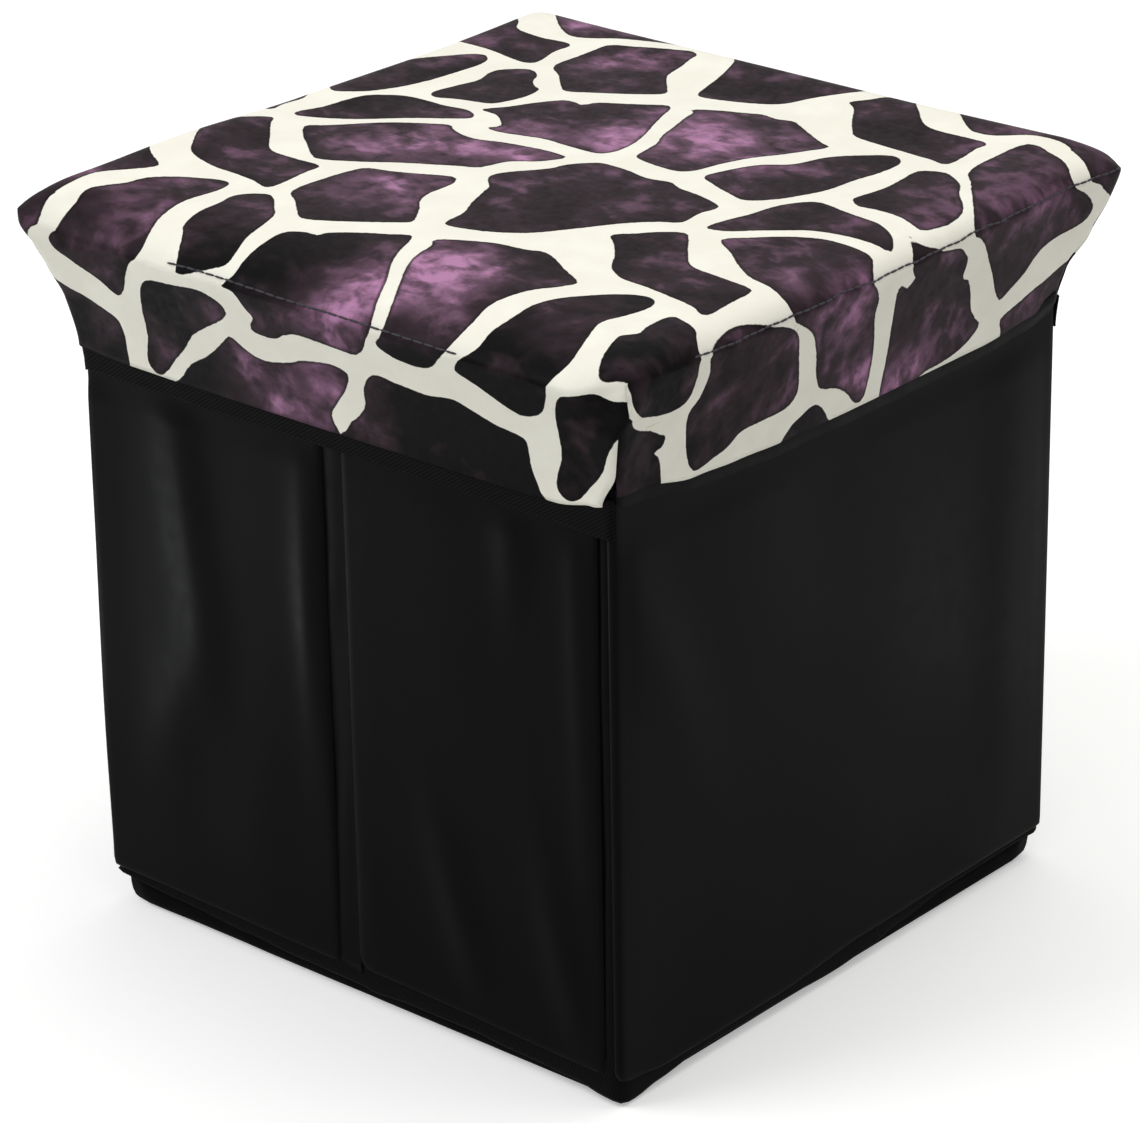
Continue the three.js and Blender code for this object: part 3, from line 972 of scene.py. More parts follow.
@dataclass
class Wall:
    """One stiff wall or half wall: its vinyl skin, lining and rim tape over the board.

    Its place, width and depth are those of its CAD nodes. Sizes are in millimetres.

    Attributes:
        name: The wall's name, with which its CAD nodes' names start.
        body: The body that it moves with.
        side: The side of the box that it is on.
        seed: Which waves its cloth has.
        folds: Long folds of the skin: place, height, length, width, turn in degrees and size.
        feet: Radii of the skin's left and right corner at the foot.
        cut: Where the skin starts and ends along the side, if not at the wall's ends.
        wraps: The strip that the skin also stands for, and the body past it that it runs on to.
    """

    name: str
    body: str
    side: Side
    seed: int
    folds: tuple[tuple[float, ...], ...] = ()
    feet: tuple[float, float] = (2.4, 2.4)
    cut: tuple[float, float] | None = None
    wraps: tuple[str, str] | None = None
    corner: float = 9.0
    skin_roll: float = 2.0
    skin_thickness: float = 0.9
    skin_turning: float = 14.0
    edge_hold: float = 12.0
    hem_line: float = 98.0
    tape_drop: float = 13.0
    tape_lap: float = 0.35
    tape_thickness: float = 0.5

    def __post_init__(self) -> None:
        """Takes the wall's place and size from its CAD nodes."""
        low, high = box_of(f"{self.name}_rim_tape", self.side)
        self.start, self.end = low[0], high[0]
        self.outer, self.inner = -low[1], -high[1]
        self.rim, self.skin_top = high[2] - 0.4, low[2] + 1.0
        self.foot = box_of(f"{self.name}_skin", self.side)[0][2]

    @property
    def middle(self) -> float:
        """Where the wall's middle is along its side."""
        return (self.start + self.end) / 2

    @property
    def width(self) -> float:
        """The wall's width."""
        return self.end - self.start

    @property
    def height(self) -> float:
        """The skin's height."""
        return self.skin_top - self.foot

    @property
    def skin_ends(self) -> tuple[float, float]:
        """Where the skin starts and ends along the side: at the wall's ends, or at its own cut."""
        return self.cut or (self.start, self.end)

    def slack(self, x: Array, z: Array) -> Array:
        """How far the skin stands out from the board: slow waves and the wall's own long folds.

        Args:
            x: Places along the skin from its middle, in millimetres.
            z: Heights from its middle.

        Returns:
            The gap at each place.
        """
        first, last = self.skin_ends
        half, middle = (last - first) / 2, (last + first) / 2
        across, up = x / half, z / (self.height / 2)
        free = np.abs(across) if self.wraps is None else np.maximum(across, 0)
        hold = np.clip((1 - free) * half / self.edge_hold, 0, 1) ** 0.8 * np.clip(1 - np.abs(up) ** 6, 0, 1)
        hold = hold * np.clip((self.hem_line - z) / 10, 0, 1)
        stand = 0.35 + 0.3 * ripples(x, z, (95, 260), self.seed)
        along, height = x + middle, z + self.foot + self.height / 2
        for place, level, length, width, turn, size in self.folds:
            stand = stand + size * bump_at(along, height, (place, level), (length, width), turn)
        return np.maximum(stand, -0.1) * hold

    def lowered(self, points: Array) -> Array:
        """Draws the skin's lower edge to the side's own foot line.

        Args:
            points: The skin's points in its side's plane, with true widths and heights.

        Returns:
            The points, stretched downwards or upwards near the foot.
        """
        line = eased(points[:, 0], FOOT_LINES[self.side])
        near = np.clip((110 - points[:, 2]) / 98, 0, 1.1)
        points[:, 2] += (line - self.foot) * near
        return points

    def skin(self) -> None:
        """Makes the vinyl skin, a tray whose edges turn in round the board."""
        first, last = self.skin_ends
        wide, middle = last - first, (last + first) / 2
        depth = self.outer - self.inner - 0.6
        tray = Plate(wide, self.height, depth, self.corner, self.skin_roll, 2.4, back_lip=6.0, feet=self.feet)
        points, faces = thickened(*tray.build(self.slack), self.skin_thickness)
        points = self.lowered(points + np.array([middle, -self.outer, self.foot + self.height / 2]))
        piece = make_piece(f"{self.name}_skin_vinyl", flared(turned(points, self.side)), faces, BODY_VINYL)
        if self.wraps is None:
            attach(piece, self.body)
        else:
            self.wrap_round(piece, *self.wraps)
        self.declare("skin")

    def wrap_round(self, piece: bpy.types.Object, strip: str, body: str) -> None:
        """Fixes the skin's place in its mesh and hides the CAD strip that it stands for at the corner.

        Args:
            piece: The skin.
            strip: The CAD strip that it stands for there.
            body: The body beyond the corner; not used.
        """
        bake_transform(piece)
        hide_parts(strip)

    def lining(self) -> None:
        """Makes the lining cloth on the wall's inner side."""
        sheet = Plate(self.width - 3, self.height - 3, 0.9, 6, 0.4, 6.0, steps=2)
        points, faces = sheet.build(lambda x, z: 0.15 * ripples(x, z, (60, 60), self.seed + 7))
        points[:, 1] *= -1
        points += np.array([self.middle, -self.inner - 0.2, self.foot + self.height / 2])
        piece = make_piece(f"{self.name}_lining_cloth", turned(points, self.side), faces[:, ::-1], LINING)
        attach(piece, self.body)
        self.declare("lining")

    def rim_tape(self) -> None:
        """Folds a tape over the wall's top edge."""
        radius = (self.outer - self.inner) / 2 + 0.25
        low, middle = self.rim - self.tape_drop, (self.outer + self.inner) / 2
        turn = np.linspace(0, math.pi, 9)
        top = self.rim - radius + 0.2
        drops = np.linspace(low, top, 6)[:-1]
        out = np.concatenate([np.full(5, -radius), -radius * np.cos(turn), np.full(5, radius)])
        high = np.concatenate([drops, top + radius * np.sin(turn), drops[::-1]])
        along = np.linspace(self.start, self.end, max(12, round(self.width / 4)))
        along = np.concatenate([[along[0] - self.tape_lap], along, [along[-1] + self.tape_lap]])
        closed = np.where((along == along[0]) | (along == along[-1]), 0.04, 1.0)
        wobble = ripples(along, along * 0, (45, 45), self.seed + 3)
        grid = np.zeros((len(out), len(along), 3))
        grid[..., 0] = along
        grid[..., 1] = -(middle - out[:, None] * closed + 0.12 * wobble)
        grid[..., 2] = high[:, None] + np.where(high < top, 0.35, 0.1)[:, None] * wobble
        run = np.concatenate([[0], np.cumsum(np.hypot(np.diff(out), np.diff(high)))])
        flat = np.stack(np.broadcast_arrays(along, run[:, None]), axis=-1).reshape(-1, 2)
        faces = grid_faces(len(out), len(along))
        points, faces = thickened(turned(grid.reshape(-1, 3), self.side), faces, self.tape_thickness)
        piece = make_piece(f"{self.name}_rim_tape_cloth", points, faces, RIM_TAPE)
        lay_flat(piece, np.concatenate([flat, flat]))
        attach(piece, self.body)
        self.declare("rim_tape")

    def declare(
        self,
        part: str,
    ) -> None:
        """Hides the CAD node of a soft piece of the wall, which lies on the board.

        Args:
            part: Which part of the wall it is.
        """
        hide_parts(f"{self.name}_{part}")

    def dress(self) -> None:
        """Makes the wall's soft pieces and gives its board a finish."""
        self.skin()
        self.lining()
        self.rim_tape()
        refinish(f"{self.name}_board", BOARD)


def lay_flat(piece: bpy.types.Object, flat: Array) -> None:
    """Gives a piece a map named flat, with each point's place on the uncut cloth.

    Args:
        piece: The piece.
        flat: A pair of millimetres for each point.
    """
    layer = piece.data.uv_layers.new(name="flat")
    corners = np.zeros(len(piece.data.loops), np.int32)
    piece.data.loops.foreach_get("vertex_index", corners)
    layer.data.foreach_set("uv", (flat[corners] * MM).astype(np.float32).ravel())


FRONT_FOLDS = (
    (-83, 190, 50, 8, 96, 1.9),
    (-90, 104, 34, 10, 68, 1.4),
    (-139, 150, 80, 13, 90, 1.7),
    (-11, 196, 52, 7, 88, 2.2),
    (-6, 100, 60, 7, 97, 1.8),
    (-52, 60, 34, 12, 80, 0.8),
    (87, 222, 22, 6, 90, 1.5),
    (56, 58, 30, 7, 106, 1.8),
    (109, 54, 36, 7, 103, 1.9),
    (122, 165, 70, 5, 92, 1.7),
)
HINGE_FOLDS = ((-114, 185, 44, 11, 114, 1.4), (108, 150, 80, 12, 90, 1.3))


@dataclass
class FoldStrip:
    """The soft vinyl strip that joins two walls at their fold.

    Its place and height are those of its CAD node. Sizes are in millimetres.

    Attributes:
        name: Its name, which is its CAD node's.
        side: The side of the box that it is on.
        bodies: The two bodies that it joins, or the one that it rides on.
        width: Its width.
        shift: How far it lies aside from its CAD node.
        sink: How far its edges lie behind the walls' faces.
        ridge: How far its middle stands out from its edges.
        tilt: How much further back one edge lies than the middle.
    """

    name: str
    side: Side
    bodies: tuple[str, ...]
    width: float = 9.2
    shift: float = 0.0
    sink: float = 2.3
    ridge: float = 1.2
    tilt: float = 0.0
    thickness: float = 0.8
    bend_half: float = 4.6

    def __post_init__(self) -> None:
        """Takes the strip's place and height from its CAD node."""
        low, high = box_of(self.name, self.side)
        self.along = (low[0] + high[0]) / 2
        self.foot, self.top = low[2] + 0.4, high[2] - 0.8
        self.outer = -box_of("front_half_a_skin")[0][1]

    def dress(self) -> None:
        """Makes the strip as a low ridge between the walls' edges."""
        across = np.linspace(-1, 1, 13)
        up = np.linspace(self.foot, self.top, 70)
        depth = self.sink - self.tilt * across - self.ridge * np.cos(across * math.pi / 2) ** 1.4
        grid = np.zeros((len(up), len(across), 3))
        grid[..., 0] = self.along + self.shift + across * self.width / 2
        grid[..., 1] = -(self.outer - depth) + 0.25 * ripples(across * 4, up[:, None], (8, 60), 11)
        grid[..., 2] = up[:, None]
        points, faces = thickened(grid.reshape(-1, 3), grid_faces(len(up), len(across)), self.thickness)
        piece = make_piece(f"{self.name}_vinyl", turned(points, self.side), faces, STRIP_VINYL)
        if len(self.bodies) == 2:
            start, end = self.bend()
            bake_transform(piece)
        else:
            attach(piece, self.bodies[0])
        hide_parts(self.name)

    def bend(self) -> tuple[Vector, Vector]:
        """Where the strip's bend starts, next to its first body, and where it ends."""
        reach = np.array([[-self.bend_half, 0, 0], [self.bend_half, 0, 0]])
        reach += np.array([self.along, -self.outer + 2.5, 100])
        start, end = (Vector(p * MM) for p in turned(reach, self.side))
        return (end, start) if self.side is Side.FRONT else (start, end)


# ---------------------------------------------------------------- the box's bottom


@dataclass
class Bottom:
    """The soft floor sheet and the binding round it, and the loose base board.

    Their widths are those of their CAD nodes. Sizes are in millimetres.
    """

    keep: float = 0.177
    floor_thickness: float = 0.9
    band_top: float = 14.5
    band_corner: float = 4.0
    band_thickness: float = 0.7
    band_width: float = 14.0
    wrap_thickness: float = 0.5
    turning: float = 6.0

    def __post_init__(self) -> None:
        """Takes the sizes from the CAD nodes."""
        self.floor_half = box_of("floor_sheet")[1][0]
        self.band_half = box_of("bottom_binding")[1][0] - 0.3
        self.board_low, self.board_high = box_of("base_board_cover")

    def soft(self, piece: bpy.types.Object) -> None:
        """Ties a soft bottom piece to the hinge wall and gives it a mesh of its own."""
        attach(piece, "hinge_side")
        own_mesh(piece)

    def floor_sheet(self) -> None:
        """Makes the vinyl floor sheet, its edges turned up."""
        size = 2 * self.floor_half
        rise = ((2.2, 0.1), (3.3, 0.4), (4.5, 1.8), (5.5, 4.6), (6.0, 8.0), (6.2, 12.4))
        sheet = Plate(size, size, 8.0, 3.6, 6.2, 6.0, 0.0, profile=rise)
        points, faces = sheet.build()
        points[:, 1] += np.maximum(0, 0.2 * ripples(points[:, 0], points[:, 2], (50, 50), 91))
        shell, quads = thickened(laid(points, False, 0.2), faces, self.floor_thickness)
        piece = make_piece("floor_sheet_vinyl", shell, quads, FLOOR_VINYL)
        self.soft(piece)
        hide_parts("floor_sheet")

    def band_foot(self, loop: Array) -> Array:
        """Height of the binding's lower edge round the box: it hangs lowest at the near corner.

        Args:
            loop: Points round the box.

        Returns:
            The height of the edge at each.
        """
        x, y = loop[:, 0], loop[:, 1]
        front = [(-136, 13), (-100, 10.6), (-62, 8.7), (-30, 7.1), (0, 6.7), (9, 5.6), (24, 6.8), (61, 6.8)]
        front += [(80, 5.6), (111, 4.6), (127, 2.2), (136, 1)]
        hinge = [(-136, 1), (-126, 0.8), (-113, 2.5), (-88, 4.8), (-40, 4.3), (0, 3.5), (14, 4.2), (41, 7.5)]
        hinge += [(72, 10.6), (120, 11.6), (136, 11)]
        back = eased(x, [(-136, 7), (136, 11)])
        far = eased(y, [(-136, 13), (-60, 9), (136, 7)])
        sides = [-y >= np.abs(x) - 0.01, x >= np.abs(y) - 0.01, y >= np.abs(x) - 0.01]
        return np.select(sides, [eased(x, front), eased(y, hinge), back], far)

    def binding(self) -> None:
        """Makes the woven binding that closes the walls' lower edges."""
        s = np.linspace(-1, 1, 72)[:-1]
        loop = square_loop(self.band_half, self.band_corner, 0, s)
        low = self.band_foot(loop) + 0.15 * ripples(loop[:, 0], loop[:, 1], (26, 26), 92)
        drop = self.band_top - low
        rings = (
            (-0.9, low + drop * 0.02 + 0.4),
            (0.2, low),
            (0.8, low + drop * 0.12),
            (0.9, low + drop * 0.5),
            (0.4, self.band_top),
            (0.1, self.band_top + 5),
        )
        half, corner = self.band_half, self.band_corner
        loops = [flared(square_loop(half + out, corner, height, s)) for out, height in rings]
        shell, faces = thickened(np.concatenate(loops), stacked_loops(loops), self.band_thickness)
        piece = make_piece("bottom_binding_tape", shell, faces, RIM_TAPE)
        round_box = 8 * self.band_half
        along = np.tile(np.arange(len(loop)) * round_box / len(loop), len(loops))
        cloth = np.stack([along, np.concatenate([ring[:, 2] for ring in loops])], axis=1)
        lay_flat(piece, np.concatenate([cloth, cloth]))
        self.soft(piece)
        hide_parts("bottom_binding")

    def base_board(self) -> None:
        """Wraps the loose base board in lining cloth and finishes its core."""
        (low, front, _), (high, back, top) = self.board_low, self.board_high
        plate = Plate(high - low, back - front, 1.4, 5, 0.7, 6.0, 0.5)
        points, faces = plate.build(lambda x, y: 0.12 * ripples(x, y, (60, 60), 93))
        middle = ((low + high) / 2, 0.0)
        points, faces = thickened(laid(points, True, top, middle), faces, self.wrap_thickness)
        piece = make_piece("base_board_wrap", points, faces, LINING)
        tie(piece, "base_board", "base_board_cover")
        refinish("base_board_core", BOARD)

    def dress(self) -> None:
        """Makes every bottom piece."""
        self.binding()
        self.floor_sheet()
        self.base_board()


# ---------------------------------------------------------------- the lid


@dataclass
class LidShape:
    """The printed cover's form: a square top and four skirts that narrow to the hem.

    Sheet coordinates are millimetres on the flat cut, with the top's middle at 0, 0. The widths of the top
    and of the hem are those of the CAD nodes.

    Attributes:
        drop: The skirt's depth on the flat cut.
        level: How high the top lies inside its edges, before the padding lifts it.
        roll_height: How far the padding lifts the top near its edges.
        crown: How much further it lifts the middle.
        lean: How far the cover sits off the box's middle, along X and Y.
        radii: The top's corner radii, from the front's far corner on.
        tuck_reach: How far the near corner's dart draws the cloth.
    """

    drop: float = 60.0
    level: float = 301.5
    roll_height: float = 6.5
    crown: float = 2.2
    lean: tuple[float, float] = (1.4, 1.2)
    radii: tuple[float, ...] = (7.0, 4.0, 9.0, 6.0)
    tuck_reach: float = 12.0

    def __post_init__(self) -> None:
        """Takes half the width of the cover and of the box inside its hem from the CAD nodes."""
        self.half = box_of("lid_cover")[1][0]
        self.hem_half = -box_of("front_hem_tape")[1][1]

    def crease(self, side: Side, s: Array) -> Array:
        """Height of the top's edge along a side, for places from -1 to 1."""
        knots = {
            Side.FRONT: [(-1, 304.4), (-0.92, 301.6), (-0.8, 299), (-0.5, 298), (0, 297.2), (0.5, 296.6),
                         (0.82, 295.6), (0.94, 299.5), (1, 302)],
            Side.HINGE: [(-1, 302), (-0.9, 302.5), (-0.6, 301.5), (0, 301), (0.5, 302), (1, 303.6)],
            Side.BACK: [(-1, 303.6), (-0.85, 305.2), (-0.3, 304.3), (0.4, 304.4), (1, 304.8)],
            Side.FAR: [(-1, 304.8), (-0.5, 303.6), (0, 304.2), (0.5, 306.6), (0.85, 305.8), (1, 304.4)],
        }
        return eased(s, knots[side])

    def fillet(self, side: Side, s: Array) -> Array:
        """How softly a side's edge is rounded: how far in and down its line moves."""
        knots = {
            Side.FRONT: [(-1, 2.0), (-0.85, 3.4), (-0.55, 3.8), (-0.3, 2.0), (0.3, 1.4), (0.8, 1.0),
                         (1, 1.2)],
            Side.HINGE: [(-1, 1.2), (-0.8, 2.2), (0, 1.4), (0.8, 1.6), (1, 2.4)],
            Side.BACK: [(-1, 2.4), (1, 1.8)],
            Side.FAR: [(-1, 1.8), (1, 2.0)],
        }
        return eased(s, knots[side])

    def hem(self, side: Side, s: Array) -> Array:
        """Height of the hem along a side."""
        knots = {
            Side.FRONT: [(-1, 2.0), (-0.8, 0.5), (-0.5, 0), (0.6, 0), (0.8, 0.7), (0.96, 4.1), (1, 4.6)],
            Side.HINGE: [(-1, 9.3), (-0.9, 8.4), (-0.67, 3.1), (-0.5, 1.7), (-0.3, 0.4), (0, 0), (0.6, 0.4),
                         (0.85, 2.6), (1, 5.6)],
            Side.BACK: [(-1, 2), (-0.6, 0), (0.6, 0), (1, 2)],
            Side.FAR: [(-1, 2), (-0.6, 0), (0.6, 0), (1, 2)],
        }
        return 243.4 + eased(s, knots[side])

    def bow(self, s: Array) -> Array:
        """How far a side's edge bows out."""
        return 1.0 * (1 - s**2)

    def corner(self, side: Side, s: Array) -> Array:
        """Radius of the top's corner next to each place of a side."""
        return np.where(s < 0, self.radii[side.value], self.radii[(side.value + 1) % 4])

    def ears(self, side: Side, s: Array, e: Array) -> Array:
        """How far the corner next to each place of a side is drawn out, from the top's edge to the hem."""
        knots = (
            [(0, 4.2), (0.12, 4.8), (0.28, 3.2), (0.42, 2.2), (0.65, 0.5), (1, 0)],
            [(0, 0.3), (0.5, 0), (1, 0)],
            [(0, 3.8), (0.25, 3.8), (0.5, 2.4), (0.75, -0.8), (1, -1.5)],
            [(0, 2.0), (0.4, 1.0), (1, 0)],
        )
        return np.where(s < 0, eased(e, knots[side.value]), eased(e, knots[(side.value + 1) % 4]))

    def tucked(self, away: Array, e: Array, side: Side) -> Array:
        """How far the near corner's cloth is drawn in round its dart, and puffed out just under it.

        Args:
            away: Distance from the corner along the cloth.
            e: Places down the skirt, from 0 to 1.
            side: The skirt that the points are on.

        Returns:
            The offsets in X, Y and Z.
        """
        x_end, y_end = (-4.5, -1.0) if side is Side.FRONT else (1.0, 0.7)
        x = eased(e, [(0, -3.7), (0.14, -0.9), (0.27, 2.1), (0.42, 0.8), (0.72, 0.8), (1, x_end)])
        y = eased(e, [(0, 7.1), (0.14, 4.7), (0.27, 2.9), (0.42, -0.8), (0.72, -0.8), (1, y_end)])
        share = np.exp(-((away / self.tuck_reach) ** 2))
        return np.stack(np.broadcast_arrays(x * share, y * share, 0 * share), axis=-1)

    def softened(self, side: Side, s: Array, away: Array) -> tuple[Array, Array]:
        """How far the rounded edge draws points in and down.

        Args:
            side: The top's side.
            s: Places along it, from -1 to 1.
            away: How far each point is from the edge's line.

        Returns:
            The way inwards and the way down, for each.
        """
        amount = self.fillet(side, s)
        moved = amount * np.exp(-0.36 * away / amount)
        return moved * 0.75, moved

    def top(self, u: Array, v: Array) -> Array:
        """The cover's top.

        Args:
            u: Sheet coordinates across.
            v: Sheet coordinates up.

        Returns:
            The points, in millimetres.
        """
        level = np.maximum(np.abs(u), np.abs(v)) / self.half
        safe = np.maximum(np.maximum(np.abs(u), np.abs(v)), 1e-9)
        where = {
            Side.FRONT: (-v >= np.abs(u), u / safe),
            Side.HINGE: (u > np.abs(v), v / safe),
            Side.BACK: (v >= np.abs(u), -u / safe),
            Side.FAR: (-u > np.abs(v), -v / safe),
        }
        near = np.clip((level - 0.7) / 0.3, 0, 1)
        near = near * near * (3 - 2 * near)
        late = np.clip((level - 0.85) / 0.15, 0, 1)
        points = np.zeros(u.shape + (3,))
        for side, (mask, s) in where.items():
            s, within = s[mask], (1 - level[mask]) * self.half
            inwards, down = self.softened(side, s, within)
            half = level[mask] * self.half + self.bow(s) * near[mask] - inwards
            height = self.crease(side, s) * near[mask] + self.level * (1 - near[mask]) - down
            ear = self.ears(side, s, np.zeros(s.shape)) * late[mask] ** 2
            points[mask] = on_square(side, s, half, self.corner(side, s) * late[mask] ** 2, height, ear)
        points[..., 2] += self.rise(u, v)
        points[..., :2] += self.lean
        away = np.hypot(self.half - u, self.half + v)
        return points + self.tucked(away, np.zeros(u.shape), Side.FRONT)

    def rise(self, u: Array, v: Array) -> Array:
        """How far the padding lifts the top above its edges.

        Args:
            u: Sheet coordinates across.
            v: Sheet coordinates up.

        Returns:
            The lift at each.
        """
        soft = {"front": 8.0, "hinge": 5.0, "back": 2.4, "far": 2.4}
        share = 1 - np.exp(-(self.half + v) / soft["front"])
        share = share * (1 - np.exp(-(self.half - u) / soft["hinge"]))
        share = share * (1 - np.exp(-(self.half - v) / soft["back"]))
        share = share * (1 - np.exp(-(self.half + u) / soft["far"]))
        dome = (1 - (u / self.half) ** 2) * (1 - (v / self.half) ** 2)
        return self.roll_height * share + self.crown * dome

    def skirt(self, side: Side, s: Array, e: Array) -> Array:
        """Points of a side's skirt.

        Args:
            side: Which side.
            s: Places along it, from -1 to 1.
            e: Places down it, from 0 at the top's edge to 1 at the hem.

        Returns:
            The points.
        """
        top, low = self.crease(side, s), self.hem(side, s)
        edge = self.half + self.bow(s)
        inwards, down = self.softened(side, s, e * (top - low))
        half = self.hem_half + (edge - self.hem_half) * (1 - e) ** 1.35 - inwards
        radius = self.corner(side, s)
        radius = radius + (4.0 - radius) * e
        points = on_square(side, s, half, radius, top + (low - top) * e - down, self.ears(side, s, e))
        points[..., 0] += self.lean[0] * (1 - e)
        points[..., 1] += self.lean[1] * (1 - e)
        if side in (Side.FRONT, Side.HINGE):
            away = (1 - s if side is Side.FRONT else 1 + s) * self.half
            points = points + self.tucked(away, e, side)
        return points

    def width_at(self, e: Array) -> Array:
        """Half the cloth's width at a place down the skirt, on the flat cut."""
        return self.half * (1 - e) + (self.hem_half - 0.9) * e

    def skirt_sheet(self, side: Side, s: Array, e: Array) -> Array:
        """Sheet coordinates of a skirt's points."""
        along, out = s * self.width_at(e), -(self.half + self.drop * e)
        return turned(np.stack(np.broadcast_arrays(along, out, 0.0), axis=-1), side)[..., :2]


@dataclass
class LidCover:
    """The printed cover, one sheet whose inner face shows its woven backing."""

    shape: LidShape
    cells: int = 150
    skirt_rows: int = 30
    thickness: float = 1.0

    def places(self) -> Array:
        """Sheet places across the top, closer together near its edges, from -1 to 1."""
        x = np.linspace(-1, 1, self.cells + 1)
        return 0.65 * x + 0.35 * np.sin(x * math.pi / 2)

    def mesh(self) -> tuple[Array, Array, Array]:
        """The cover's outer face.

        Returns:
            Its points, its quads and the points' sheet coordinates.
        """
        s = self.places()
        u, v = np.meshgrid(s * self.shape.half, s * self.shape.half)
        points = [self.shape.top(u, v).reshape(-1, 3)]
        sheet = [np.stack([u, v], axis=-1).reshape(-1, 2)]
        faces = [grid_faces(len(s), len(s))]
        index = np.arange(len(s) ** 2).reshape(len(s), len(s))
        edges = {
            Side.FRONT: index[0],
            Side.HINGE: index[:, -1],
            Side.BACK: index[-1, ::-1],
            Side.FAR: index[::-1, 0],
        }
        down = np.linspace(0, 1, self.skirt_rows + 1)[1:]
        count = len(s) ** 2
        for side, edge in edges.items():
            along, e = np.meshgrid(s, down)
            points.append(self.shape.skirt(side, along, e).reshape(-1, 3))
            sheet.append(self.shape.skirt_sheet(side, along, e).reshape(-1, 2))
            rows = np.concatenate([edge[None], count + np.arange(along.size).reshape(along.shape)])
            quads = [rows[1:, :-1], rows[1:, 1:], rows[:-1, 1:], rows[:-1, :-1]]
            faces.append(np.stack([q.ravel() for q in quads], axis=1))
            count += along.size
        return np.concatenate(points), np.concatenate(faces), np.concatenate(sheet)

    def dress(self) -> None:
        """Makes the cover."""
        points, faces, sheet = self.mesh()
        shell, quads = thickened(points, faces, self.thickness)
        cover = make_piece("lid_printed_cover", shell, quads, PRINT, BACKING)
        inner = np.zeros(len(quads), np.int32)
        inner[len(faces):2 * len(faces)] = 1
        cover.data.polygons.foreach_set("material_index", inner)
        # The second stored value is the print's pink tint, and painted shade on the skirts' patches where it
        # is below 0.
        depth, bloom_and_shade = printed(sheet, self.shape.half)
        set_values(cover, "patch_depth", np.tile(depth, 2))
        set_values(cover, "bloom_and_shade", np.tile(bloom_and_shade, 2))
        tie(cover, "lid", "lid_cover")


@dataclass
class LidInside:
    """What lies inside the cover: the foam, the stiff board and the lining under it."""

    shape: LidShape
    inset: float = 4.0
    cells: int = 60
    board_half: float = 142.0
    board_top: float = 277.4
    board_foot: float = 273.3
    lining_half: float = 141.6
    lining_foot: float = 272.2
    turning: float = 6.0
    middle: tuple[float, float] = (0.7, 0.6)

    def padding(self) -> None:
        """Makes the foam as a crowned closed pad, a little smaller than the cover."""
        s = np.linspace(-1, 1, self.cells + 1)
        s = 0.6 * s + 0.4 * np.sin(s * math.pi / 2)
        u, v = np.meshgrid(s * (self.shape.half - self.inset), s * (self.shape.half - self.inset))
        top = self.shape.top(u, v).reshape(-1, 3) - np.array([0, 0, 1.9])
        edge = grid_edge(len(s), len(s))
        layers, faces, rings = [top], [grid_faces(len(s), len(s))], []
        for out, high in ((-2.2, 294.0), (-2.6, 290.0), (-3.6, 284.0), (-3.8, self.board_top + 1.0)):
            rings.append(square_loop(self.shape.half - self.inset + out, 16.0, high, s[:-1]))
            rings[-1][:, :2] += self.middle
        last = add_rings(layers, faces, rings, edge)
        count = sum(len(layer) for layer in layers)
        foot = top * np.array([0.955, 0.955, 0]) + np.array([0, 0, self.board_top + 0.2])
        layers.append(foot)
        faces.append(grid_faces(len(s), len(s), count)[:, ::-1])
        faces.append(ring_faces(count + edge, last))
        pad = make_piece("lid_foam_padding", np.concatenate(layers), np.concatenate(faces), FOAM)
        tie(pad, "lid", "lid_padding")

    def board(self) -> None:
        """Makes the stiff board under the foam."""
        size, thickness = 2 * self.board_half, self.board_top - self.board_foot
        plate = Plate(size, size, thickness, 6, 0.5, 7.0)
        points, faces = plate.build()
        board = make_piece("lid_stiff_board", laid(points, True, self.board_top, self.middle), faces, BOARD)
        tie(board, "lid", "lid_board")

    def lining(self) -> None:
        """Makes the lining that closes the lid's underside."""
        plate = Plate(2 * self.lining_half, 2 * self.lining_half, 0.9, 6, 0.4, 6.0, steps=2)
        points, faces = plate.build(lambda x, y: 0.25 * ripples(x, y, (70, 70), 31))
        points = laid(points, False, self.lining_foot, self.middle)
        lining = make_piece("lid_lining_cloth", points, faces, LINING)
        tie(lining, "lid", "lid_lining")

    def dress(self) -> None:
        """Makes all three."""
        self.padding()
        self.board()
        self.lining()


@dataclass
class HemTape:
    """A twill tape sewn behind one side's hem, which hugs the box below it."""

    side: Side
    node: str
    shape: LidShape
    lap: float = 3.2
    foot: float = 235.6
    out: float = 137.3
    thickness: float = 0.7
    cut_width: float = 12.5

    def dress(self) -> None:
        """Makes the tape with its own flat coordinates for the twill."""
        along = np.linspace(-1, 1, 141)
        up = np.linspace(0, 1, 13)[:, None]
        droop = 1.1 * np.maximum(along, 0) ** 6 + 0.35 * ripples(along * 137, along * 0, (60, 60), 61)
        top = self.shape.hem(self.side, along) + self.lap
        height = self.foot - droop * (1 - up) + (top - self.foot) * up
        lift = 0.8 * up**1.5 + 0.18 * ripples(along * 137, up * 10, (30, 12), 62) * (1 - up)
        points = on_square(self.side, along, self.out + lift, 4.0 + 0 * lift, height)
        run = along * 138.0 + up * 0
        flat = np.stack([run, height + 0 * run], axis=-1).reshape(-1, 2)
        shell, faces = thickened(points.reshape(-1, 3), grid_faces(len(up), len(along)), self.thickness)
        tape = make_piece(f"{self.node}_cloth", shell, faces, HEM_TAPE)
        lay_flat(tape, np.concatenate([flat, flat]))
        tie(tape, "lid", self.node)


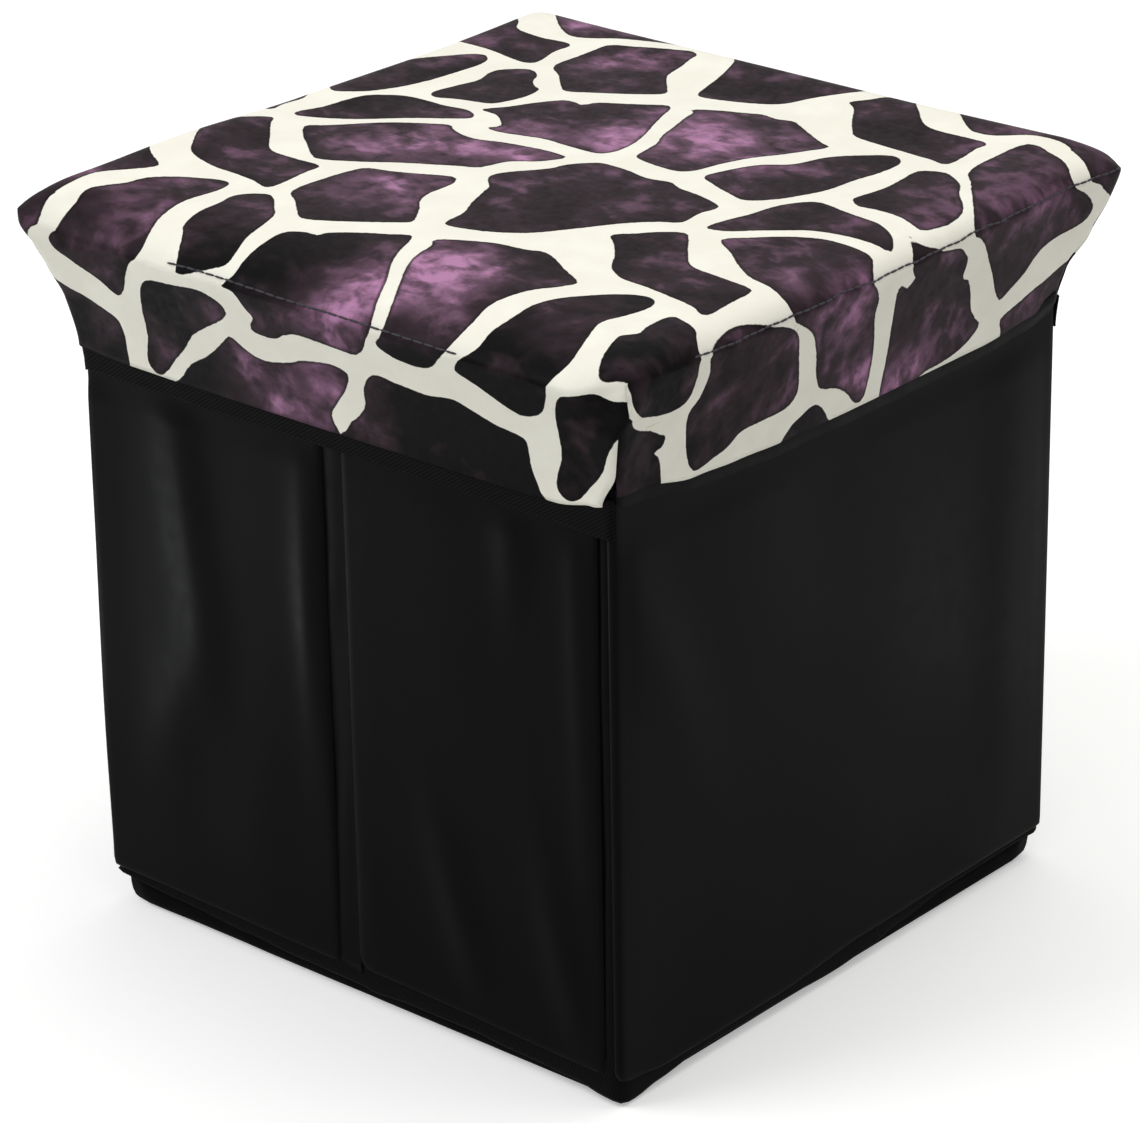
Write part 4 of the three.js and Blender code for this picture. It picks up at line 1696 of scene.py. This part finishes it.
@dataclass
class HingeFlap:
    """The wall's vinyl, carried up smoothly to the lid's hem: the lid turns on its top edge."""

    shape: LidShape
    lap: float = 2.6
    reach: float = 9.0
    half: float = 135.5
    thickness: float = 0.9

    def dress(self) -> None:
        """Makes the flap, which follows the hem's line."""
        along = np.linspace(-1, 1, 121)
        up = np.linspace(0, 1, 15)[:, None]
        out = 135.6 + 2.1 * eased(up, [(0, 0), (0.8, 1), (1, 1)])
        height = self.shape.hem(Side.HINGE, along) - self.reach + (self.reach + self.lap) * up
        points = on_square(Side.HINGE, along * self.half / 136, out, 5.0 + 0 * out, height)
        shell, faces = thickened(points.reshape(-1, 3), grid_faces(len(up), len(along)), self.thickness)
        flap = make_piece("lid_hinge_flap_vinyl", shell, faces, STRIP_VINYL)
        tie(flap, "hinge_side", "lid_hinge_flap")


@dataclass
class LidStitches:
    """The cover's sewing thread along its front and hinge creases."""

    shape: LidShape
    thread_radius: float = 0.42
    gap: float = 0.15

    def front_crease(self) -> None:
        """A line of thread along the middle of the front crease."""
        u = np.linspace(-77, 75, 240)
        inwards = eased(u, [(-77, 2.1), (0, 1.4), (75, 0.9)])
        path = self.shape.top(u, inwards - self.shape.half)
        path += np.array([0, -0.1, 0.22])
        path[:, 2] += 0.12 * ripples(u, u * 0, (9, 9), 81)
        self.sew("front_crease_thread", path, 5.2)

    def hinge_crease(self) -> None:
        """Short, slightly wavering stitches along the hinge-side crease."""
        v = np.linspace(-112, 151, 400)
        wander = 0.6 + 0.3 * ripples(v, v * 0, (20, 20), 82)
        path = self.shape.top(self.shape.half - wander, v) + np.array([0.15, 0, 0.22])
        self.sew("hinge_crease_thread", path, 4.2)

    def sew(self, name: str, path: Array, length: float) -> None:
        """Sews a row of stitches along a path on the lid.

        Args:
            name: The row's name.
            path: The seam's points, close together.
            length: Each stitch's length.
        """
        row = make_piece(name, *stitches(path, length, self.gap, self.thread_radius), THREAD)
        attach(row, "lid")

    def dress(self) -> None:
        """Sews both rows."""
        self.front_crease()
        self.hinge_crease()


PATCHES: tuple[tuple[int, ...], ...] = (
    (-144, 152, -141, 150, -132, 141, -122, 133, -113, 129, -104, 131, -93, 137, -82, 141, -70, 146,
     -64, 152, -66, 170, -100, 180, -138, 168),
    (-153, 140, -149, 136, -142, 129, -134, 121, -108, 122, -107, 111, -104, 93, -126, 94, -142, 94,
     -149, 98, -152, 106, -162, 112, -162, 138),
    (-58, 142, -53, 139, -52, 134, -50, 126, -48, 115, -44, 109, -37, 101, -33, 95, -37, 90, -47, 83,
     -57, 77, -67, 72, -74, 77, -84, 87, -92, 93, -95, 100, -95, 111, -94, 121, -92, 129, -82, 133,
     -72, 137, -64, 140),
    (-44, 152, -38, 145, -34, 139, -29, 125, -26, 113, -21, 101, -10, 102, 5, 108, 13, 114, 18, 124,
     23, 132, 29, 141, 32, 148, 44, 160, 30, 175, -20, 178, -45, 162),
    (54, 152, 57, 145, 62, 139, 78, 125, 106, 124, 107, 116, 109, 96, 99, 96, 82, 97, 62, 99, 55, 105,
     47, 115, 40, 125, 34, 130, 39, 137, 42, 144, 46, 150, 50, 156),
    (74, 152, 75, 150, 82, 141, 92, 132, 99, 130, 107, 132, 117, 139, 127, 141, 134, 140, 142, 135,
     149, 132, 153, 132, 157, 137, 161, 140, 167, 147, 168, 158, 140, 180, 90, 172),
    (121, 132, 127, 133, 134, 130, 144, 125, 150, 122, 154, 124, 159, 130, 164, 134, 168, 136, 173, 135,
     175, 130, 176, 121, 178, 113, 182, 108, 187, 104, 191, 97, 194, 90, 187, 84, 179, 79, 170, 72,
     162, 66, 156, 60, 152, 56, 144, 64, 135, 75, 128, 84, 122, 91, 119, 100, 118, 111, 118, 124),
    (86, 90, 92, 88, 95, 82, 95, 70, 93, 57, 92, 42, 88, 30, 83, 20, 75, 12, 66, 14, 55, 18, 46, 23,
     47, 32, 53, 47, 63, 57, 68, 72, 77, 83),
    (113, 87, 119, 85, 127, 79, 133, 70, 139, 64, 144, 57, 146, 47, 145, 37, 143, 32, 138, 33, 129, 36,
     119, 36, 112, 35, 107, 38, 105, 42, 107, 57, 106, 69, 105, 82),
    (30, 99, 36, 96, 46, 90, 55, 85, 61, 82, 58, 74, 52, 62, 47, 54, 44, 47, 41, 37, 39, 27, 35, 22,
     29, 21, 18, 22, 10, 25, 8, 32, 6, 42, 1, 52, -2, 62, -6, 74, -8, 82, -11, 85, -2, 91, 8, 95, 15, 98,
     23, 97),
    (-22, 83, -18, 80, -15, 72, -10, 60, -5, 49, -1, 37, 0, 27, -2, 20, -7, 18, -17, 18, -32, 19, -42, 17,
     -52, 15, -60, 16, -58, 20, -58, 22, -63, 27, -69, 31, -78, 33, -72, 42, -67, 52, -60, 62, -54, 63,
     -49, 62, -47, 68, -37, 74, -29, 79),
    (-99, 86, -91, 82, -87, 75, -82, 70, -77, 67, -75, 57, -77, 47, -80, 41, -87, 39, -96, 37, -105, 34,
     -110, 39, -108, 52, -106, 62, -109, 72, -108, 79),
    (-126, 88, -121, 85, -119, 79, -119, 72, -120, 57, -121, 47, -124, 34, -129, 22, -135, 15, -140, 12,
     -146, 16, -151, 25, -152, 37, -151, 52, -149, 62, -142, 69, -136, 77, -131, 84),
    (-115, 28, -106, 29, -94, 28, -82, 29, -75, 25, -74, 21, -82, 15, -94, 7, -106, -3, -119, -13,
     -126, -18, -131, -20, -133, -16, -130, -5, -129, 7, -127, 17, -122, 23),
    (-75, 10, -70, 7, -63, 4, -54, 3, -44, 6, -32, 8, -21, 9, -12, 8, -11, 5, -16, -3, -25, -10, -28, -18,
     -30, -23, -37, -26, -47, -31, -59, -37, -72, -45, -87, -52, -94, -50, -104, -42, -114, -34,
     -120, -26, -115, -20, -106, -10, -96, -1, -84, 6),
    (3, 10, 10, 11, 20, 10, 30, 8, 40, 10, 47, 7, 60, 5, 72, 0, 71, -10, 72, -22, 65, -27, 57, -35,
     50, -45, 42, -57, 35, -66, 25, -73, 15, -77, 4, -79, 1, -75, 0, -65, -5, -55, -10, -42, -12, -37,
     -18, -31, -20, -26, -17, -19, -12, -13, -7, -6, -5, 1),
    (99, 29, 112, 27, 122, 26, 129, 25, 138, 20, 143, 15, 146, 10, 146, 8, 137, 8, 124, 6, 114, 2,
     107, -4, 99, -11, 92, -18, 85, -21, 82, -19, 83, -10, 86, 2, 88, 15, 93, 25),
    (95, -27, 102, -18, 112, -8, 124, -1, 137, 0, 145, -1, 150, -6, 153, -8, 158, -4, 164, -1, 171, 0,
     181, 4, 191, 7, 201, 8, 209, 7, 211, 4, 209, 0, 204, -5, 199, -13, 196, -23, 192, -27, 186, -30,
     176, -34, 166, -40, 159, -49, 154, -55, 147, -55, 137, -52, 127, -50, 117, -44, 107, -36),
    (80, -30, 86, -35, 94, -45, 104, -55, 119, -57, 132, -58, 136, -61, 137, -72, 138, -89, 129, -86,
     117, -84, 104, -82, 92, -81, 82, -75, 75, -65, 67, -56, 60, -49, 66, -42, 72, -35),
    (190, -39, 196, -41, 198, -47, 199, -60, 200, -70, 205, -77, 207, -83, 210, -93, 205, -99, 194, -104,
     181, -107, 174, -103, 164, -101, 153, -103, 149, -94, 148, -85, 150, -75, 153, -65, 158, -55,
     164, -49, 176, -44),
    (-135, -29, -130, -35, -121, -45, -111, -55, -96, -57, -82, -58, -81, -67, -80, -88, -91, -86,
     -104, -84, -119, -83, -130, -80, -137, -72, -145, -61, -151, -52, -162, -47, -162, -37, -150, -39,
     -143, -36),
    (-32, -37, -27, -39, -25, -45, -25, -57, -22, -65, -17, -71, -12, -78, -9, -84, -13, -88, -25, -96,
     -37, -103, -46, -106, -53, -101, -62, -93, -69, -88, -71, -80, -70, -67, -68, -55, -65, -49,
     -54, -46, -44, -42),
    (-152, -81, -147, -87, -139, -93, -130, -98, -131, -104, -136, -113, -141, -122, -142, -132,
     -142, -142, -141, -151, -143, -156, -146, -164, -152, -168, -165, -165, -170, -120, -165, -88),
    (-103, -93, -96, -94, -94, -101, -95, -109, -97, -119, -96, -129, -95, -134, -92, -148, -97, -156,
     -100, -163, -104, -174, -109, -178, -118, -172, -128, -168, -134, -165, -136, -161, -136, -156,
     -133, -149, -132, -142, -134, -133, -131, -126, -127, -119, -124, -109, -115, -99),
    (-75, -94, -69, -97, -63, -103, -57, -109, -54, -118, -52, -129, -48, -139, -47, -145, -51, -148,
     -60, -151, -70, -153, -73, -148, -78, -139, -83, -132, -85, -122, -84, -112, -85, -104, -82, -98),
    (0, -95, 4, -99, 8, -109, 13, -119, 20, -129, 26, -140, 31, -149, 32, -153, 29, -159, 26, -165,
     21, -169, 13, -169, -7, -168, -15, -170, -22, -174, -32, -174, -34, -171, -31, -166, -34, -163,
     -39, -155, -45, -153, -41, -148, -42, -139, -43, -129, -42, -119, -34, -115, -29, -115, -27, -111,
     -15, -103, -7, -99),
    (52, -78, 60, -81, 70, -87, 82, -94, 80, -101, 75, -108, 70, -118, 68, -127, 70, -139, 70, -149,
     66, -156, 60, -163, 52, -165, 42, -164, 35, -161, 34, -158, 37, -154, 37, -149, 32, -139, 26, -129,
     20, -119, 16, -109, 14, -99, 11, -93, 20, -87, 32, -82, 40, -81, 46, -80),
    (111, -89, 117, -92, 119, -99, 117, -109, 114, -119, 117, -129, 120, -142, 118, -152, 116, -161,
     112, -169, 104, -173, 97, -172, 82, -165, 73, -161, 73, -158, 76, -153, 81, -148, 80, -139, 81, -129,
     82, -119, 86, -111, 93, -102, 102, -93),
    (130, -99, 137, -99, 143, -101, 148, -106, 153, -109, 163, -108, 172, -109, 176, -114, 177, -123,
     175, -132, 172, -139, 167, -146, 160, -149, 154, -152, 151, -152, 146, -151, 141, -150, 137, -147,
     132, -139, 129, -129, 128, -124, 132, -119, 130, -112),
    (124, -156, 129, -155, 138, -155, 142, -157, 146, -160, 150, -161, 152, -164, 153, -170, 151, -176,
     146, -178, 143, -182, 140, -187, 138, -192, 135, -197, 130, -204, 125, -209, 120, -211, 116, -210,
     113, -206, 114, -199, 118, -189, 119, -179, 119, -169, 121, -160),
    (30, -176, 40, -177, 55, -178, 67, -176, 75, -178, 87, -182, 99, -184, 102, -187, 102, -199,
     104, -209, 104, -222, 9, -222, 10, -206, 15, -201, 20, -194, 21, -186, 25, -179),
    (-1, -179, 8, -178, 14, -180, 14, -184, 10, -191, 4, -199, 1, -205, 0, -222, -84, -222, -79, -209,
     -73, -201, -64, -195, -57, -189, -49, -181, -47, -180, -44, -182, -37, -186, -29, -187, -17, -184,
     -10, -181),
    (-84, -162, -72, -161, -60, -160, -52, -162, -47, -165, -46, -169, -51, -174, -59, -179, -69, -186,
     -75, -194, -82, -202, -87, -209, -91, -212, -96, -210, -98, -205, -96, -194, -96, -181, -94, -170,
     -90, -164),
    (-144, -182, -134, -184, -124, -186, -115, -189, -111, -192, -109, -199, -109, -205, -108, -211,
     -109, -222, -160, -222, -160, -178),
    (-151, 7, -146, 3, -143, -3, -144, -13, -142, -21, -146, -22, -150, -18, -162, -12, -162, 6),
    (194, 146, 195, 140, 196, 131, 198, 119, 201, 106, 204, 94, 211, 95, 225, 96, 225, 160, 197, 158),
    (153, 37, 156, 47, 160, 52, 165, 56, 173, 57, 176, 62, 184, 67, 191, 70, 197, 75, 201, 79, 205, 76,
     209, 68, 211, 57, 212, 44, 218, 32, 222, 20, 216, 17, 209, 17, 196, 17, 184, 15, 171, 12, 161, 10,
     163, 15, 164, 17, 161, 20, 158, 18, 153, 16, 148, 20, 142, 25, 148, 25),
    (168, -152, 171, -146, 175, -141, 180, -135, 184, -126, 187, -121, 189, -117, 194, -117, 196, -121,
     200, -117, 207, -114, 214, -112, 222, -112, 222, -155, 170, -160),
    (222, -9, 211, -15, 205, -20, 202, -26, 205, -34, 209, -40, 222, -47),
)
BLOOMS_AND_SHADE: tuple[tuple[float, ...], ...] = (
    (22, 60, 16, 0.8), (0, 75, 8, 0.4), (-7, 38, 12, 0.9), (-40, 20, 15, 0.2), (-69, -18, 20, 0.26),
    (-44, -5, 15, 0.26), (-25, 3, 10, 0.4), (-89, -32, 12, 0.12), (35, -118, 16, 0.8),
    (32, -102, 12, 0.35), (57, -139, 14, 0.35), (18, -142, 12, 0.9), (8, -161, 14, 0.5),
    (-27, -201, 22, 0.7), (3, -186, 10, 0.4), (137, -40, 14, 0.42), (166, -18, 16, 0.36),
    (196, 2, 12, 0.45), (-82, 111, 18, 0.35), (-49, -67, 20, 0.35), (107, 139, 10, 0.4),
    (139, 149, 10, 0.4), (137, 114, 12, 0.2), (139, 84, 15, 0.15), (-114, 141, 15, 0.4),
    (213, 37, 10, 0.5), (204, 17, 10, 0.3), (-146, -129, 10, 0.4), (-146, -159, 8, 0.3),
    (-109, -124, 14, 0.3), (104, -130, 12, 0.25), (27, -203, 12, 0.3), (180, -75, 20, 0.25),
    (132, -174, 8, 0.25), (-135, 105, 15, 0.15), (-125, -65, 15, 0.2), (0, 15, 95, 0.2),
    (185, 10, 60, 0.14), (150, 105, 30, 0.12), (170, 110, 16, 0.2), (-115, -135, 14, 0.25),
    # Painted shade: the entries below 0 darken the patches on the front and hinge skirts against those on the
    # top, which the light lifts with sheen.
    (-50, -186, 34, -0.2), (30, -186, 34, -0.22), (95, -186, 34, -0.3), (140, -178, 22, -0.2),
    (182, -120, 26, -0.2), (186, -40, 40, -0.12),
)


REPEATS: tuple[tuple[Side, tuple[float, float]], ...] = ((Side.BACK, (24, -180)), (Side.FAR, (217, 0)))

PATCH_REACH = 12.0


def rounded_outline(outline: tuple[int, ...], steps: int = 6) -> Array:
    """A smooth closed line through an outline's points.

    Args:
        outline: Across and up in turn for each point, in sheet millimetres.
        steps: How many points lie between two of the outline's.

    Returns:
        The line's points.
    """
    p = np.array(outline, float).reshape(-1, 2)
    before, after, later = np.roll(p, 1, 0), np.roll(p, -1, 0), np.roll(p, -2, 0)
    t = (np.arange(steps) / steps)[None, :, None]
    a, b, c, d = (q[:, None, :] for q in (before, p, after, later))
    line = 0.5 * (2 * b + (c - a) * t + (2 * a - 5 * b + 4 * c - d) * t**2 + (3 * b - a - 3 * c + d) * t**3)
    return line.reshape(-1, 2)


def depth_in(line: Array, points: Array) -> Array:
    """Signed distance of points from a closed line.

    Args:
        line: The line's points.
        points: The points to measure.

    Returns:
        A distance for each, above 0 inside the line.
    """
    a, b = line, np.roll(line, -1, 0)
    d = b - a
    rel = points[:, None, :] - a[None]
    t = np.clip((rel * d).sum(2) / np.maximum((d * d).sum(1), 1e-9), 0, 1)
    gap = np.linalg.norm(rel - t[..., None] * d, axis=2).min(1)
    above = (a[None, :, 1] > points[:, None, 1]) != (b[None, :, 1] > points[:, None, 1])
    rise = np.where(np.abs(d[:, 1]) < 1e-9, 1e-9, d[:, 1])
    cross = a[None, :, 0] + (points[:, None, 1] - a[None, :, 1]) * d[None, :, 0] / rise
    inside = (above & (points[:, None, 0] < cross)).sum(1) % 2 == 1
    return np.where(inside, gap, -gap)


def patch_depths(sheet: Array) -> Array:
    """How deep each sheet point lies in a patch.

    Args:
        sheet: Points on the cover's flat cut.

    Returns:
        A depth in millimetres for each, below 0 outside all the patches.
    """
    depth = np.full(len(sheet), -PATCH_REACH)
    for patch in PATCHES:
        line = rounded_outline(patch)
        low, high = line.min(0) - PATCH_REACH, line.max(0) + PATCH_REACH
        near = ((sheet > low) & (sheet < high)).all(1)
        depth[near] = np.maximum(depth[near], depth_in(line, sheet[near]))
    return depth


def blooms_and_shade(sheet: Array) -> Array:
    """How brightly each sheet point glows pink, and how far painted shade darkens the patches on the skirts.

    Args:
        sheet: Points on the cover's flat cut.

    Returns:
        A strength from 0 to 1 for each, or below 0 where it is painted shade.
    """
    total = np.zeros(len(sheet))
    for u, v, reach, strength in BLOOMS_AND_SHADE:
        total += strength * np.exp(-((sheet[:, 0] - u) ** 2 + (sheet[:, 1] - v) ** 2) / (2 * reach**2))
    return np.clip(total, -0.3, 1)


def printed(sheet: Array, edge: float) -> tuple[Array, Array]:
    """Reads the print, which starts again on the back and far skirts.

    Args:
        sheet: Sheet points.
        edge: How far from the middle the top's edges are.

    Returns:
        The patches' depth, and the pink print's strength with painted shade on the skirts below 0, at each
        point.
    """
    depth, bloom_and_shade = patch_depths(sheet), blooms_and_shade(sheet)
    for side, shift in REPEATS:
        out = sheet[:, 1] if side is Side.BACK else -sheet[:, 0]
        share = eased(out, [(edge - 5, 0), (edge + 5, 1)])
        past = share > 0
        moved = sheet[past] + np.array(shift)
        depth[past] += (patch_depths(moved) - depth[past]) * share[past]
        bloom_and_shade[past] += (blooms_and_shade(moved) - bloom_and_shade[past]) * share[past]
    return depth, bloom_and_shade


# ---------------------------------------------------------------- studio


def ray_strength(
    tree: bpy.types.NodeTree, plain: float, glossy: float, camera: float
) -> bpy.types.NodeSocket:
    """A strength that grows for glossy rays and for the camera's.

    Args:
        tree: The node tree that it is for.
        plain: The strength for every ray.
        glossy: How much a glossy ray adds.
        camera: How much a ray from the camera adds.

    Returns:
        The strength.
    """
    path = tree.nodes.new("ShaderNodeLightPath")
    sheen, seen = (tree.nodes.new("ShaderNodeMath") for _ in range(2))
    for step, ray, share in ((sheen, "Is Glossy Ray", glossy), (seen, "Is Camera Ray", camera)):
        step.operation = "MULTIPLY_ADD"
        step.inputs[1].default_value = share
        tree.links.new(path.outputs[ray], step.inputs[0])
    sheen.inputs[2].default_value = plain
    tree.links.new(sheen.outputs[0], seen.inputs[2])
    return seen.outputs[0]


def area_lamp(
    name: str, size: tuple[float, float], power: float, colour: Colour, place: Matrix
) -> bpy.types.Object:
    """Adds a rectangular lamp.

    Args:
        name: The lamp's name.
        size: Its width and height, in metres.
        power: Its power, in watts.
        colour: Its colour.
        place: Where it stands and how it is turned.

    Returns:
        The lamp.
    """
    data = bpy.data.lights.new(name, "AREA")
    data.shape = "RECTANGLE"
    data.size, data.size_y = size
    data.energy = power
    data.color = colour
    lamp = bpy.data.objects.new(name, data)
    lamp.matrix_world = place
    bpy.context.scene.collection.objects.link(lamp)
    return lamp


@dataclass(frozen=True)
class SoftLamp:
    """A soft box lamp that looks at a point. Places are in metres."""

    name: str
    place: tuple[float, float, float]
    aim: tuple[float, float, float]
    size: tuple[float, float]
    power: float
    colour: Colour

    def light(self) -> None:
        """Hangs the lamp and turns it to its point."""
        turn = (Vector(self.aim) - Vector(self.place)).to_track_quat("-Z", "Y").to_matrix().to_4x4()
        area_lamp(self.name, self.size, self.power, self.colour, Matrix.Translation(self.place) @ turn)


@dataclass(frozen=True)
class StripLamp:
    """A narrow lamp that lies on the floor and shows only as a sheen on glossy surfaces."""

    name: str
    near: tuple[float, float]
    far: tuple[float, float]
    width: float
    power: float
    colour: Colour = (0.93, 0.97, 1)
    height: float = 0.006

    def light(self) -> None:
        """Lays the lamp from its near end to its far end, facing up."""
        (x, y), (far_x, far_y) = self.near, self.far
        turn = Matrix.Rotation(math.atan2(far_y - y, far_x - x), 4, "Z")
        middle = Matrix.Translation(((x + far_x) / 2, (y + far_y) / 2, self.height))
        place = middle @ turn @ Matrix.Rotation(math.pi, 4, "X")
        size = (math.dist(self.near, self.far), self.width)
        lamp = area_lamp(self.name, size, self.power, self.colour, place)
        lamp.visible_camera = False
        lamp.visible_diffuse = False


@dataclass
class Studio:
    """Floor, backdrop, lights and camera. Places are in metres and angles in degrees."""

    eye: tuple[float, float, float] = (1.1395, -1.3086, 0.9065)
    yaw: float = 41.143
    pitch: float = 23.754
    roll: float = -1.019
    lens: float = 148.42
    floor_reach: float = 12.0
    floor_level: float = -0.0004
    lamps: tuple[SoftLamp | StripLamp, ...] = (
        SoftLamp("key_lamp", (-0.9, -1.3, 1.9), (0, 0, 0.2), (1.2, 1.0), 22, (0.97, 0.985, 1)),
        SoftLamp("top_lamp", (0.3, 0.5, 2.0), (0, 0, 0.3), (1.6, 1.6), 17.5, (1, 0.985, 0.95)),
        StripLamp("front_strip_lamp", (-0.288, -0.239), (-0.672, -0.494), 0.05, 0.34),
        StripLamp("side_strip_lamp", (0.242, 0.248), (0.418, 0.478), 0.02, 0.04),
    )

    def camera(self) -> None:
        """Sets the camera."""
        yaw, pitch, roll = (math.radians(a) for a in (self.yaw, self.pitch, self.roll))
        ahead = Vector((-math.sin(yaw) * math.cos(pitch), math.cos(yaw) * math.cos(pitch), -math.sin(pitch)))
        right = Vector((math.cos(yaw), math.sin(yaw), 0))
        up = right.cross(ahead)
        right, up = (
            right * math.cos(roll) + up * math.sin(roll),
            up * math.cos(roll) - right * math.sin(roll),
        )
        data = bpy.data.cameras.new("camera")
        data.lens = self.lens
        data.sensor_width = 36
        data.clip_end = 20
        camera = bpy.data.objects.new("camera", data)
        axes = Matrix((right, up, -ahead)).transposed()
        camera.matrix_world = Matrix.Translation(self.eye) @ axes.to_4x4()
        bpy.context.scene.collection.objects.link(camera)
        bpy.context.scene.camera = camera

    def floor(self) -> None:
        """Lays a pale floor that the camera sees as white and that keeps the shadow."""
        material = bpy.data.materials.new("studio_floor")
        material.use_nodes = True
        shader = material.node_tree.nodes["Principled BSDF"]
        shader.inputs["Base Color"].default_value = (0.82, 0.82, 0.81, 1)
        shader.inputs["Roughness"].default_value = 0.9
        shader.inputs["Specular IOR Level"].default_value = 0.1
        shader.inputs["Emission Color"].default_value = (1, 1, 1, 1)
        strength = ray_strength(material.node_tree, plain=0.0, glossy=0.08, camera=0.34)
        material.node_tree.links.new(strength, shader.inputs["Emission Strength"])
        mesh = bpy.data.meshes.new("studio_floor")
        far = self.floor_reach
        corners = [(-far, -far, 0), (far, -far, 0), (far, far, 0), (-far, far, 0)]
        mesh.from_pydata(corners, [], [(0, 1, 2, 3)])
        mesh.materials.append(material)
        floor = bpy.data.objects.new("studio_floor", mesh)
        floor.location.z = self.floor_level
        bpy.context.scene.collection.objects.link(floor)

    def lights(self) -> None:
        """Sets an even white world and the lamps."""
        world = bpy.data.worlds.new("studio_world")
        bpy.context.scene.world = world
        bpy.context.scene.view_settings.view_transform = "Standard"
        world.use_nodes = True
        background = world.node_tree.nodes["Background"]
        background.inputs["Color"].default_value = (1, 1, 1, 1)
        strength = ray_strength(world.node_tree, plain=0.5, glossy=0.14, camera=0.5)
        world.node_tree.links.new(strength, background.inputs["Strength"])
        for lamp in self.lamps:
            lamp.light()


def box_walls() -> list[Wall]:
    """The box's sides.

    Returns:
        The two full walls and the four half walls.
    """
    return [
        Wall("hinge_wall", "hinge_side", Side.HINGE, seed=1, folds=HINGE_FOLDS),
        Wall("front_half_a", "front_half_a", Side.FRONT, seed=2, folds=FRONT_FOLDS, feet=(7.5, 2.4),
             cut=(0.6, 127.6)),
        Wall("front_half_b", "front_half_b", Side.FRONT, seed=3, folds=FRONT_FOLDS, cut=(-135.7, -9),
             wraps=("front_far_corner_strip", "far_side")),
        Wall("back_half_a", "back_half_a", Side.BACK, seed=4),
        Wall("back_half_b", "back_half_b", Side.BACK, seed=5),
        Wall("far_wall", "far_side", Side.FAR, seed=6),
    ]


def fold_strips() -> list[FoldStrip]:
    """The strips over the folds.

    Returns:
        The strips at the corners and the centre folds. The front's far corner has the skin instead.
    """
    return [
        FoldStrip("front_hinge_corner_strip", Side.FRONT, ("hinge_side", "front_half_a"), width=8.0,
                  shift=1.4),
        FoldStrip("front_centre_strip", Side.FRONT, ("front_half_a", "front_half_b"), width=13.0,
                  shift=-4.4, sink=0.85, ridge=0.25, tilt=0.35),
        FoldStrip("back_hinge_corner_strip", Side.BACK, ("hinge_side", "back_half_a")),
        FoldStrip("back_centre_strip", Side.BACK, ("back_half_a", "back_half_b")),
        FoldStrip("back_far_corner_strip", Side.BACK, ("far_side",)),
    ]


def dress_lid() -> None:
    """Makes the lid's cover, filling, hem tapes, hinge flap and sewing thread."""
    shape = LidShape()
    LidCover(shape).dress()
    LidInside(shape).dress()
    tapes = {Side.FRONT: "front_hem_tape", Side.BACK: "back_hem_tape", Side.FAR: "far_hem_tape"}
    for side, node in tapes.items():
        HemTape(side, node, shape).dress()
    HingeFlap(shape).dress()
    LidStitches(shape).dress()


def main() -> None:
    """Builds the studio and every sub-assembly, and reports each."""
    studio = Studio()
    studio.camera()
    studio.floor()
    studio.lights()
    for wall in box_walls():
        wall.dress()
        LOG.info("wall %s dressed", wall.name)
    for strip in fold_strips():
        strip.dress()
        LOG.info("strip %s dressed", strip.name)
    Bottom().dress()
    LOG.info("floor sheet, binding and base board dressed")
    dress_lid()
    LOG.info("lid dressed")


if __name__ == "__main__":
    logging.basicConfig(level=logging.INFO)
    main()
